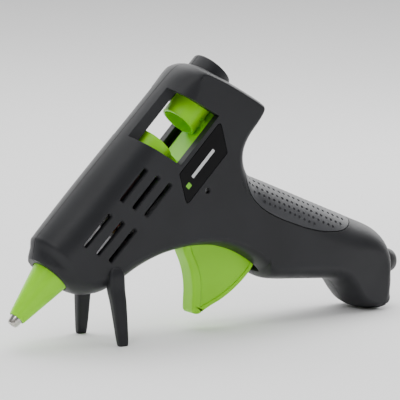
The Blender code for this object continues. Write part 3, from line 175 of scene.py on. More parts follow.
class Paint:
    """One material's node tree, with short ways to add to it."""

    def __init__(self, name: str) -> None:
        """Start a material with its Principled shader.

        Args:
            name: the material's name.
        """
        self.material = bpy.data.materials.new(name)
        self.material.use_nodes = True
        self.tree = self.material.node_tree
        self.shader = self.tree.nodes["Principled BSDF"]
        self.place = self.tree.nodes.new("ShaderNodeTexCoord").outputs["Object"]

    def node(self, kind: str, settings: dict, inputs: dict) -> bpy.types.Node:
        """Add a node.

        Args:
            kind: the node's type.
            settings: its properties, set first.
            inputs: what each socket holds or is linked to, by name or number.

        Returns:
            The new node.
        """
        made = self.tree.nodes.new(kind)
        for name, value in settings.items():
            setattr(made, name, value)
        for name, value in inputs.items():
            self.feed(made.inputs[name], value)
        return made

    def feed(self, socket: bpy.types.NodeSocket, value: object) -> None:
        """Link a socket to another, or set its constant.

        Args:
            socket: the socket to feed.
            value: a wrapped or plain socket to link, or a constant.
        """
        if isinstance(value, Value):
            value = value.socket
        if isinstance(value, bpy.types.NodeSocket):
            self.tree.links.new(value, socket)
        elif isinstance(value, tuple) and socket.type == "RGBA":
            socket.default_value = (*value, 1.0)
        else:
            socket.default_value = value

    def dress(self, **inputs: object) -> None:
        """Set or link the shader's sockets; an underscore in a name stands for a space."""
        for name, value in inputs.items():
            self.feed(self.shader.inputs[name.replace("_", " ")], value)

    def noise(self, size: float, detail: float = 2.0,
              stretch: Sequence[float] = (1.0, 1.0, 1.0)) -> Value:
        """Noise with features of a size in millimetres.

        Args:
            size: width of a feature.
            detail: how many finer layers it has.
            stretch: how many times finer it is along each axis.

        Returns:
            The noise, about 0.5 in the middle.
        """
        vector = self.node("ShaderNodeMapping", {}, {"Vector": self.place, "Scale": tuple(stretch)})
        inputs = {"Vector": vector.outputs[0], "Scale": 1.0 / (size * MM), "Detail": detail}
        return Value(self, self.node("ShaderNodeTexNoise", {}, inputs).outputs[0])

    def spots(self, size: float) -> Value:
        """Distance to the nearest of scattered points, about a size in millimetres apart."""
        inputs = {"Vector": self.place, "Scale": 1.0 / (size * MM)}
        return Value(self, self.node("ShaderNodeTexVoronoi", {}, inputs).outputs[0])

    def blend(self, share: Value, first: object, second: object) -> Value:
        """Mix two colours."""
        made = self.node("ShaderNodeMix", {"data_type": "RGBA"}, {0: share, 6: first, 7: second})
        return Value(self, made.outputs[2])

    def bump(self, height: Value, depth: float, base: object = None) -> Value:
        """Bump normal from a height.

        Args:
            height: the height, 0 to 1.
            depth: millimetres that 1 stands for.
            base: normal it starts from.

        Returns:
            The normal.
        """
        inputs = {"Height": height, "Distance": depth * MM, "Strength": 1.0}
        if base is not None:
            inputs["Normal"] = base
        return Value(self, self.node("ShaderNodeBump", {}, inputs).outputs[0])

    def soft_edges(self, radius: float) -> tuple[Value, Value]:
        """Normal that rounds sharp edges, and a mask of those edges.

        Args:
            radius: rounding in millimetres.

        Returns:
            The normal and the mask, 1 on an edge.
        """
        rounded = self.node("ShaderNodeBevel", {"samples": 6}, {"Radius": radius * MM}).outputs[0]
        plain = self.tree.nodes.new("ShaderNodeNewGeometry").outputs["Normal"]
        dot = self.node("ShaderNodeVectorMath", {"operation": "DOT_PRODUCT"}, {0: rounded, 1: plain})
        edge = (1.0 - Value(self, dot.outputs["Value"])).between(0.02, 0.30)
        return Value(self, rounded), edge


# ------------------------------------------------------------------ finishes


@dataclass(frozen=True)
class MouldedPlastic:
    """Injection-moulded plastic with a fine sparked grain, a little brighter on its edges: part wear,
    part painted highlight.
    """

    name: str
    base: Colour
    rough: float = 0.42
    grain: float = 0.28
    grain_depth: float = 0.018
    cloud: float = 0.10
    edge_light: float = 0.5
    edge_radius: float = 0.35
    shine: float = 0.5

    def made(self) -> bpy.types.Material:
        """Build the material.

        Returns:
            The finished material.
        """
        paint = Paint(self.name)
        rounded, edge = paint.soft_edges(self.edge_radius)
        slow = paint.noise(24.0, 3.0)
        smear = paint.noise(5.0, 4.0, (1.0, 1.0, 2.4))
        grain = paint.noise(self.grain, 1.5)
        pits = paint.spots(self.grain * 1.6)
        dark = tuple(channel * (1.0 - self.cloud) for channel in self.base)
        light = tuple(min(channel * (1.0 + self.cloud), 1.0) for channel in self.base)
        # Colour for the edges, a little lighter: part wear, part painted highlight for the light the
        # edges catch.
        edge_wear_and_highlight = tuple(min(channel * (1.0 + self.edge_light) + 0.01, 1.0) for channel in self.base)
        body = paint.blend(slow.between(0.3, 0.7), dark, light)
        body = paint.blend((edge * smear.between(0.35, 0.75)).least(1.0), body, edge_wear_and_highlight)
        rough = self.rough + 0.14 * (smear - 0.5) + 0.06 * (grain - 0.5) - 0.08 * edge
        relief = paint.bump(grain * 0.7 + pits * 0.3, self.grain_depth, rounded)
        relief = paint.bump(paint.noise(9.0, 1.0), 0.02, relief)
        paint.dress(Base_Color=body, Roughness=rough, Normal=relief)
        paint.dress(IOR=1.49, Specular_IOR_Level=self.shine)
        return paint.material


@dataclass(frozen=True)
class SoftRubber:
    """Soft matt rubber with a faint bloom and dust in its grain."""

    name: str
    base: Colour
    rough: float = 0.62
    grain: float = 0.22

    def made(self) -> bpy.types.Material:
        """Build the material.

        Returns:
            The finished material.
        """
        paint = Paint(self.name)
        rounded, edge = paint.soft_edges(0.2)
        bloom = paint.noise(14.0, 4.0)
        grain = paint.noise(self.grain, 2.0)
        pale = tuple(channel * 1.35 + 0.004 for channel in self.base)
        # The pale colour goes on blooming patches and on the edges; on the edges it is part wear, part
        # painted highlight.
        body = paint.blend((bloom.between(0.35, 0.8) * 0.6 + edge * 0.4).least(1.0), self.base, pale)
        rough = self.rough + 0.12 * (bloom - 0.5) - 0.05 * edge
        relief = paint.bump(grain, 0.02, rounded)
        paint.dress(Base_Color=body, Roughness=rough, Normal=relief)
        paint.dress(Sheen_Weight=0.12, Sheen_Roughness=0.5)
        return paint.material


@dataclass(frozen=True)
class TurnedMetal:
    """Metal with fine turning lines round the barrel's axis and a little tarnish."""

    name: str
    base: Colour
    rough: float = 0.2
    lines: float = 0.12
    tarnish: float = 0.35
    stain: Colour = (0.35, 0.27, 0.17)

    def made(self) -> bpy.types.Material:
        """Build the material.

        Returns:
            The finished material.
        """
        paint = Paint(self.name)
        rounded = paint.soft_edges(0.12)[0]
        patch = paint.noise(3.2, 4.0)
        lines = paint.noise(self.lines, 1.0, (1.0, 0.06, 1.0))
        dull = (patch.between(0.45, 0.8) * self.tarnish).least(1.0)
        body = paint.blend(dull, self.base, self.stain)
        rough = self.rough + 0.22 * dull + 0.10 * (lines - 0.5)
        relief = paint.bump(lines, 0.008, rounded)
        paint.dress(Base_Color=body, Roughness=rough, Normal=relief, Metallic=1.0)
        return paint.material


@dataclass(frozen=True)
class GlossPlate:
    """Glossy printed plate: deep black with faint handling marks."""

    name: str
    base: Colour
    rough: float = 0.22
    shine: float = 0.3

    def made(self) -> bpy.types.Material:
        """Build the material.

        Returns:
            The finished material.
        """
        paint = Paint(self.name)
        rounded, edge = paint.soft_edges(0.15)
        marks = paint.noise(4.0, 5.0, (1.0, 1.0, 3.0))
        # Edges a touch lighter: part wear, part painted highlight.
        body = paint.blend(edge * 0.5, self.base, tuple(channel + 0.03 for channel in self.base))
        rough = self.rough + 0.12 * marks.between(0.45, 0.75)
        relief = paint.bump(paint.noise(6.0, 1.0), 0.01, rounded)
        paint.dress(Base_Color=body, Roughness=rough, Normal=relief, Specular_IOR_Level=self.shine)
        return paint.material


@dataclass(frozen=True)
class PressedBoard:
    """Layered board or ceramic: pale, speckled and dry."""

    name: str
    base: Colour
    fleck: Colour
    rough: float = 0.7

    def made(self) -> bpy.types.Material:
        """Build the material.

        Returns:
            The finished material.
        """
        paint = Paint(self.name)
        fleck = paint.spots(0.9).between(0.15, 0.45)
        layers = paint.noise(1.4, 3.0, (0.4, 1.0, 3.0))
        body = paint.blend(fleck, self.fleck, self.base)
        relief = paint.bump(layers, 0.03)
        paint.dress(Base_Color=body, Roughness=self.rough + 0.1 * (layers - 0.5), Normal=relief)
        return paint.material


class Finishes:
    """Every finish on the gun, made once."""

    def __init__(self) -> None:
        """Build all the materials."""
        self.charcoal = MouldedPlastic(
            "charcoal_moulding", (0.0150, 0.0155, 0.0180), rough=0.45, grain=0.34, grain_depth=0.03,
            shine=0.3,
        ).made()
        self.green = MouldedPlastic(
            "green_moulding", (0.300, 0.800, 0.001), rough=0.36, grain=0.5, grain_depth=0.008,
            cloud=0.05, edge_light=0.12, edge_radius=0.3, shine=0.3,
        ).made()
        self.grip = SoftRubber("soft_grip_rubber", (0.030, 0.031, 0.036), rough=0.5).made()
        self.gland = SoftRubber("gland_rubber_black", (0.020, 0.020, 0.022), rough=0.5).made()
        self.silicone = SoftRubber("brown_silicone", (0.05, 0.010, 0.006), rough=0.5).made()
        self.plate = GlossPlate("plate_black", (0.0025, 0.0025, 0.003), 0.3, 0.12).made()
        self.plated = TurnedMetal("nickel_plate", (0.60, 0.585, 0.56), rough=0.20, tarnish=0.5).made()
        self.steel = TurnedMetal("zinc_steel", (0.62, 0.62, 0.64), rough=0.3, tarnish=0.3).made()
        self.brass = TurnedMetal("strip_brass", (0.72, 0.55, 0.25), rough=0.28).made()
        self.cast = TurnedMetal("cast_aluminium", (0.70, 0.71, 0.72), rough=0.45, lines=0.6).made()
        self.mica = PressedBoard("mica_board", (0.50, 0.42, 0.30), (0.30, 0.24, 0.16)).made()
        self.ceramic = PressedBoard("tablet_ceramic", (0.66, 0.64, 0.60), (0.5, 0.48, 0.45), 0.5).made()
        self.lead_red = MouldedPlastic("lead_sleeve_red", (0.42, 0.04, 0.03), grain=0.5).made()
        self.lead_white = MouldedPlastic("lead_sleeve_white", (0.62, 0.62, 0.60), grain=0.5).made()
        self.mark_light = GlossPlate("mark_light", (0.62, 0.63, 0.64), 0.35).made()
        self.mark_green = GlossPlate("mark_green", (0.18, 0.52, 0.03), 0.35).made()


# ------------------------------------------------------------------ solids


class Op(Enum):
    """What a Boolean does."""

    CUT = "DIFFERENCE"
    JOIN = "UNION"
    KEEP = "INTERSECT"


class Solid:
    """A closed mesh under construction, in millimetres in one of the drawing frames."""

    def __init__(self, bm: bmesh.types.BMesh, drawn: Frame = Frame.GUN) -> None:
        """Weld a bmesh, point its faces out and hold it as an object.

        Args:
            bm: the mesh, which is used up.
            drawn: the frame of its numbers.
        """
        bmesh.ops.remove_doubles(bm, verts=bm.verts, dist=1e-4)
        bmesh.ops.recalc_face_normals(bm, faces=bm.faces)
        if drawn is Frame.STANDING:
            turn = Layout.matrix(Frame.GUN).inverted() @ Layout.matrix(Frame.STANDING)
            bmesh.ops.transform(bm, matrix=turn, verts=bm.verts)
        mesh = bpy.data.meshes.new("solid")
        bm.to_mesh(mesh)
        bm.free()
        self.object = bpy.data.objects.new("solid", mesh)
        bpy.context.scene.collection.objects.link(self.object)

    def combine(self, operation: Op, others: Iterable["Solid"]) -> "Solid":
        """Apply Booleans with other solids, which are used up.

        Args:
            operation: cut, join or keep.
            others: the tools, in order.

        Returns:
            This solid.
        """
        tools = list(others)
        for tool in tools:
            modifier = self.object.modifiers.new("tool", "BOOLEAN")
            modifier.operation = operation.value
            modifier.solver = "MANIFOLD"
            modifier.object = tool.object
        graph = bpy.context.evaluated_depsgraph_get()
        mesh = bpy.data.meshes.new_from_object(self.object.evaluated_get(graph))
        self.object.modifiers.clear()
        self.object.data = mesh
        for tool in tools:
            bpy.data.objects.remove(tool.object, do_unlink=True)
        return self

    def cut(self, *others: "Solid") -> "Solid":
        """Cut other solids away."""
        return self.combine(Op.CUT, others)

    def join(self, *others: "Solid") -> "Solid":
        """Join other solids on."""
        return self.combine(Op.JOIN, others)

    def keep(self, *others: "Solid") -> "Solid":
        """Keep what is shared with other solids."""
        return self.combine(Op.KEEP, others)

    def copy(self) -> "Solid":
        """A second solid with the same mesh."""
        bm = bmesh.new()
        bm.from_mesh(self.object.data)
        return Solid(bm)

    def piece(self, name: str, finish: bpy.types.Material, body: str, slot: str, sharp: float = 32.0,
              nodes: Sequence[str] = ()) -> bpy.types.Object:
        """Finish the solid as a piece of the gun.

        Args:
            name: the piece's name.
            finish: its material.
            body: the body it rides on.
            slot: not used.
            sharp: edges sharper than this many degrees stay crisp.
            nodes: CAD nodes it stands for.

        Returns:
            The finished object.
        """
        obj = self.object
        mesh = obj.data
        mesh.transform(Layout.matrix(Frame.GUN))
        mesh.materials.clear()
        mesh.materials.append(finish)
        mesh.shade_smooth()
        mesh.set_sharp_from_angle(angle=math.radians(sharp))
        weigh = obj.modifiers.new("normals", "WEIGHTED_NORMAL")
        weigh.keep_sharp = True
        weigh.weight = 60
        graph = bpy.context.evaluated_depsgraph_get()
        mesh = bpy.data.meshes.new_from_object(obj.evaluated_get(graph))
        obj.modifiers.clear()
        obj.data = mesh
        obj.name = name
        mesh.name = name
        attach(obj, body)
        if nodes:
            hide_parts(*nodes)
        LOG.info("%s: %d faces", name, len(mesh.polygons))
        return obj


def rounded_outline(points: Sequence[Point], radius: float, steps: int = 6) -> list[Point]:
    """Round the corners of a closed outline.

    Args:
        points: its corners.
        radius: the corners' radius.
        steps: how many segments each corner has.

    Returns:
        The rounded outline.
    """
    made: list[Point] = []
    count = len(points)
    for index, point in enumerate(points):
        corner = Vector(point)
        back = Vector(points[index - 1]) - corner
        ahead = Vector(points[(index + 1) % count]) - corner
        half = back.angle(ahead) / 2.0
        trim = min(radius / math.tan(half), 0.45 * back.length, 0.45 * ahead.length)
        start = corner + back.normalized() * trim
        end = corner + ahead.normalized() * trim
        for step in range(steps + 1):
            share = step / steps
            first, second = start.lerp(corner, share), corner.lerp(end, share)
            made.append(tuple(first.lerp(second, share)))
    return made


def smooth_run(points: Sequence[Sequence[float]], steps: int = 6) -> list[Vector]:
    """Points of a smooth curve through the given ones.

    Args:
        points: what it goes through, of any number of coordinates.
        steps: how many segments lie between two of them.

    Returns:
        The curve's points, the given ones included.
    """
    knots = [Vector(point) for point in points]
    made: list[Vector] = []
    for index in range(len(knots) - 1):
        first, last = knots[index], knots[index + 1]
        before = knots[index - 1] if index else first * 2.0 - last
        after = knots[index + 2] if index + 2 < len(knots) else last * 2.0 - first
        for step in range(steps):
            t = step / steps
            made.append(0.5 * (2.0 * first + (last - before) * t
                               + (2.0 * before - 5.0 * first + 4.0 * last - after) * t * t
                               + (3.0 * first - before - 3.0 * last + after) * t ** 3))
    made.append(knots[-1])
    return made


def plate(outline: Sequence[Point], low: float, high: float, edge: float = 0.0, steps: int = 3,
          drawn: Frame = Frame.GUN) -> Solid:
    """A plate with an outline of (x, z) points, its rim edges rounded.

    Args:
        outline: the plate's corners.
        low: its lower y.
        high: its upper y.
        edge: rounding of its edges.
        steps: segments of that rounding.
        drawn: the frame of its numbers.

    Returns:
        The plate.
    """
    bm = bmesh.new()
    face = bm.faces.new([bm.verts.new((x, low, z)) for x, z in outline])
    grown = bmesh.ops.extrude_face_region(bm, geom=[face])
    moved = [item for item in grown["geom"] if isinstance(item, bmesh.types.BMVert)]
    bmesh.ops.translate(bm, vec=(0.0, high - low, 0.0), verts=moved)
    if edge:
        rims = [item for item in bm.edges if abs(item.verts[0].co.y - item.verts[1].co.y) < 1e-6]
        bmesh.ops.bevel(bm, geom=rims, offset=edge, affect="EDGES", segments=steps, profile=0.5,
                        material=-1, clamp_overlap=True)
    return Solid(bm, drawn)


def block(low: Sequence[float], high: Sequence[float], edge: float = 0.0,
          drawn: Frame = Frame.GUN) -> Solid:
    """A box between two corners, with rounded edges.

    Args:
        low: its lowest corner.
        high: its highest corner.
        edge: rounding of its edges.
        drawn: the frame of its numbers.

    Returns:
        The box.
    """
    bm = bmesh.new()
    bmesh.ops.create_cube(bm, size=1.0)
    bmesh.ops.scale(bm, vec=[b - a for a, b in zip(low, high)], verts=bm.verts)
    bmesh.ops.translate(bm, vec=[(a + b) / 2.0 for a, b in zip(low, high)], verts=bm.verts)
    if edge:
        bmesh.ops.bevel(bm, geom=bm.edges[:], offset=edge, affect="EDGES", segments=3, profile=0.5,
                        material=-1)
    return Solid(bm, drawn)


def bar(radius: float, start: Sequence[float], end: Sequence[float], sides: int = 48,
        drawn: Frame = Frame.GUN) -> Solid:
    """A round bar between two points.

    Args:
        radius: the bar's radius.
        start: one end.
        end: the other end.
        sides: how many sides it has.
        drawn: the frame of its numbers.

    Returns:
        The bar.
    """
    first, run = Vector(start), Vector(end) - Vector(start)
    bm = bmesh.new()
    bmesh.ops.create_cone(bm, cap_ends=True, segments=sides, radius1=radius, radius2=radius,
                          depth=run.length)
    turn = run.to_track_quat("Z", "Y").to_matrix().to_4x4()
    bmesh.ops.transform(bm, matrix=Matrix.Translation(first + run / 2.0) @ turn, verts=bm.verts)
    return Solid(bm, drawn)


def turned(profile: Sequence[Point], axis: str = "x", centre: Sequence[float] = (0.0, 0.0, 0.0),
           steps: int = 96, drawn: Frame = Frame.GUN) -> Solid:
    """Turn a profile round an axis.

    Args:
        profile: (along, radius) points; it starts and ends on the axis or closes on itself.
        axis: "x" along the barrel or "y" across it.
        centre: where along = 0 lies.
        steps: segments round.
        drawn: the frame of its numbers.

    Returns:
        The turned solid.
    """
    bm = bmesh.new()
    points = [bm.verts.new((radius, 0.0, along)) for along, radius in profile]
    edges = [bm.edges.new(pair) for pair in zip(points, points[1:])]
    bmesh.ops.spin(bm, geom=points + edges, cent=(0, 0, 0), axis=(0, 0, 1), angle=2.0 * math.pi,
                   steps=steps, use_merge=True)
    bmesh.ops.remove_doubles(bm, verts=bm.verts, dist=1e-4)
    turn = Matrix.Rotation(math.radians(90.0), 4, "Y")
    if axis == "y":
        turn = Matrix.Rotation(math.radians(-90.0), 4, "X")
    bmesh.ops.transform(bm, matrix=Matrix.Translation(centre) @ turn, verts=bm.verts)
    return Solid(bm, drawn)


def lofted(rings: Sequence[Sequence[Sequence[float]]], drawn: Frame = Frame.GUN,
           flats: Sequence[int] = (), flat_from: int = 0, flat_to: int = 0) -> Solid:
    """Join sections of equal count into a closed body.

    Args:
        rings: the sections' points, in order.
        drawn: the frame of its numbers.
        flats: strips that are one flat face between two of the sections.
        flat_from: first section of those flat faces.
        flat_to: last section of those flat faces.

    Returns:
        The body.
    """
    bm = bmesh.new()
    made = [[bm.verts.new(point) for point in ring] for ring in rings]
    count = len(made[0])
    for number, (ring, following) in enumerate(zip(made, made[1:])):
        for index in range(count):
            after = (index + 1) % count
            if index in flats and flat_from <= number < flat_to:
                continue
            bm.faces.new((ring[index], ring[after], following[after], following[index]))
    for index in flats:
        inside = made[flat_from:flat_to + 1]
        bm.faces.new([ring[index] for ring in inside] + [ring[index + 1] for ring in reversed(inside)])
    bm.faces.new(made[0])
    bm.faces.new(made[-1])
    wide = [face for face in bm.faces if len(face.verts) > 4]
    bmesh.ops.triangulate(bm, faces=wide)
    return Solid(bm, drawn)


def span(side: int, first: float, second: float) -> tuple[float, float]:
    """Two distances from the parting plane as y on one side, the lower y first."""
    return min(side * first, side * second), max(side * first, side * second)


# ------------------------------------------------------------------ casing


@dataclass
class Shell:
    """The outer form of both casing halves: ribs across the gun from its upper to its lower edge.

    Each rib holds its upper end, its lower end, how much thicker it is than the flat side, and how
    far the rounding reaches in from its upper and its lower edge.
    """

    half: float = 14.3
    wall: float = 2.6
    finer: int = 4
    arc: int = 12
    flat_ribs: tuple[int, int] = (7, 24)
    barrel: tuple[tuple[Point, Point, float, float, float], ...] = (
        ((26.4, 11.4), (26.4, -9.9), -4.7, 10.5, 10.5),
        ((27.6, 12.3), (27.4, -12.6), -3.5, 11.5, 11.0),
        ((30.2, 14.2), (29.4, -16.0), -2.4, 12.0, 11.0),
        ((33.2, 16.3), (32.6, -19.2), -1.5, 13.0, 10.0),
        ((35.6, 16.5), (34.6, -20.8), -1.2, 13.0, 9.6),
        ((40.0, 16.5), (37.9, -22.5), -0.7, 13.0, 9.0),
        ((50.0, 16.5), (45.0, -24.8), -0.2, 13.0, 8.0),
        ((62.0, 16.5), (54.5, -27.3), 0.0, 13.0, 6.5),
        ((76.0, 16.4), (64.5, -31.6), 0.0, 13.0, 5.0),
        ((92.0, 16.2), (73.0, -37.4), 0.0, 13.0, 4.5),
        ((108.0, 16.0), (79.0, -42.6), 0.0, 13.0, 4.5),
        ((121.0, 15.8), (83.5, -47.5), 0.0, 12.0, 4.5),
        ((129.5, 15.4), (86.2, -50.8), 0.0, 9.0, 4.5),
        ((134.0, 13.6), (87.6, -53.0), 0.0, 6.0, 4.5),
        ((137.2, 10.0), (88.8, -55.2), 0.0, 4.0, 4.5),
        ((140.6, 0.0), (89.8, -57.2), 0.0, 3.2, 4.5),
        ((143.7, -11.0), (90.7, -59.2), 0.0, 3.0, 4.5),
        ((146.4, -22.0), (91.4, -61.0), 0.0, 3.0, 4.5),
        ((146.2, -25.8), (92.0, -62.8), 0.0, 3.0, 4.5),
        ((143.6, -28.2), (92.4, -64.2), 0.0, 3.5, 4.5),
        ((138.0, -29.4), (92.8, -65.6), 0.0, 4.0, 4.5),
        ((131.5, -30.4), (93.1, -67.0), 0.0, 5.0, 4.5),
        ((126.5, -32.4), (93.4, -68.4), 0.0, 6.0, 4.5),
        ((123.0, -36.0), (93.7, -69.8), 0.0, 7.0, 4.5),
        ((121.4, -40.6), (94.4, -76.6), 0.0, 9.0, 5.0),
    )
    handle: tuple[tuple[Point, Point, float, float, float], ...] = (
        ((73.6, 66.0), (80.6, 19.6), 0.1, 12.0, 5.5),
        ((82.0, 62.4), (88.0, 18.0), 0.5, 14.0, 7.0),
        ((94.0, 57.3), (97.0, 17.2), 0.7, 15.0, 7.5),
        ((107.0, 51.7), (106.0, 16.4), 0.7, 15.0, 7.5),
        ((120.0, 46.2), (114.0, 15.7), 0.5, 15.0, 7.0),
        ((131.0, 41.5), (119.2, 14.8), 0.1, 14.0, 6.0),
        ((138.5, 38.3), (122.8, 11.6), -0.3, 12.0, 5.5),
        ((143.6, 35.0), (125.9, 7.4), -0.6, 10.0, 5.0),
        ((147.2, 30.6), (129.2, 3.4), -0.9, 8.0, 5.0),
        ((149.3, 25.2), (132.8, 1.2), -1.0, 7.0, 5.0),
        ((150.0, 19.0), (136.6, 0.1), -1.1, 7.0, 5.0),
        ((149.9, 13.4), (139.6, -0.4), -1.3, 6.0, 5.0),
        ((148.8, 8.4), (142.0, -0.2), -1.9, 5.0, 4.0),
        ((147.0, 5.2), (144.6, 1.8), -2.8, 3.0, 3.0),
    )
    ribs: list[Vector] = field(default_factory=list)

    def __post_init__(self) -> None:
        """Run smooth curves through the ribs."""
        knots = []
        for up, low, more, upper, lower in self.barrel:
            knots.append((*up, *low, self.half + more, upper, lower))
        for up, low, more, upper, lower in self.handle:
            up_gun, low_gun = Layout.to_gun(*up), Layout.to_gun(*low)
            knots.append((*up_gun, *low_gun, self.half + more, upper, lower))
        self.ribs = smooth_run(knots, self.finer)
        first, last = (rib * self.finer for rib in self.flat_ribs)
        for values in self.ribs[first:last + 1]:
            values[4] = self.half

    def rail(self, number: int, end: int) -> tuple[Vector, Vector]:
        """A rail's point at a rib, and the rail's direction there.

        Args:
            number: the rib.
            end: 0 for the upper rail and 1 for the lower.

        Returns:
            The point and the direction.
        """
        at = slice(2 * end, 2 * end + 2)
        before = Vector(self.ribs[max(number - 1, 0)][at])
        after = Vector(self.ribs[min(number + 1, len(self.ribs) - 1)][at])
        return Vector(self.ribs[number][at]), (after - before).normalized()

    def inward(self, number: int, end: int) -> tuple[Vector, float]:
        """Direction from a rail into the shell, and how much a distance grows along it.

        Args:
            number: the rib.
            end: 0 for the upper rail and 1 for the lower.

        Returns:
            The direction and the factor.
        """
        point, along = self.rail(number, end)
        across = (self.rail(number, 1 - end)[0] - point).normalized()
        square = Vector((-along.y, along.x)) * (1.0 if end else -1.0)
        place = number / self.finer
        share = max(1.0 - max(place - 6.0, 0.0) / 2.0, min(max(place - 23.0, 0.0) / 2.0, 1.0))
        share = share * share * (3.0 - 2.0 * share)
        direction = square.lerp(across, share).normalized()
        slant = max(abs(along.x * direction.y - along.y * direction.x), 0.45)
        return direction, 1.0 / slant

    def section(self, number: int, inset: float) -> list[tuple[float, float, float]]:
        """Half a rib's section from its upper to its lower edge, y positive.

        Args:
            number: the rib.
            inset: how far inside the outer surface.

        Returns:
            The section's points.
        """
        values = self.ribs[number]
        room = (Vector(values[2:4]) - Vector(values[0:2])).length
        sides = []
        for end in (0, 1):
            direction, stretch = self.inward(number, end)
            rounding = max(values[5 + end] - inset, 0.6) * stretch
            sides.append([direction, inset * stretch, rounding])
        spare = max(room - sides[0][1] - sides[1][1], 0.1)
        share = min(1.0, spare / (sides[0][2] + sides[1][2]))
        points = []
        for end, steps in ((0, range(self.arc + 1)), (1, range(self.arc, -1, -1))):
            direction, start, rounding = sides[end]
            for step in steps:
                angle = math.pi / 2.0 * step / self.arc
                reach = start + rounding * share * (1.0 - math.cos(angle))
                at = self.rail(number, end)[0] + direction * reach
                points.append((at.x, (values[4] - inset) * math.sin(angle), at.y))
        return points

    def body(self, inset: float, first: int = 0, last: int = 0) -> Solid:
        """The whole form, or a deeper layer of it.

        Args:
            inset: how far inside the outer surface.
            first: first of the named ribs it starts at.
            last: how many of the named ribs it stops short by.

        Returns:
            The solid.
        """
        numbers = range(first * self.finer, len(self.ribs) - last * self.finer)
        rings = []
        for number in numbers:
            half = self.section(number, inset)
            rings.append(half + [(x, -y, z) for x, y, z in reversed(half[1:-1])])
        start, stop = ((rib - first) * self.finer for rib in self.flat_ribs)
        flats = (self.arc, len(rings[0]) - self.arc - 1)
        return lofted(rings, Frame.GUN, flats, max(start, 0), stop)

    def surface(self, place: float, depth: float) -> Vector:
        """A point of the outer surface near the upper edge, on the +y side.

        Args:
            place: rib number, with its fraction.
            depth: how far below the edge it lies, seen from the side.

        Returns:
            The point.
        """
        spots = []
        for number in (math.floor(place * self.finer), math.ceil(place * self.finer)):
            values = self.ribs[number]
            direction, stretch = self.inward(number, 0)
            share = min(depth / (values[5] * stretch), 1.0)
            across = values[4] * math.sqrt(1.0 - (1.0 - share) ** 2)
            at = self.rail(number, 0)[0] + direction * depth
            spots.append(Vector((at.x, across, at.y)))
        return spots[0].lerp(spots[1], place * self.finer % 1.0)


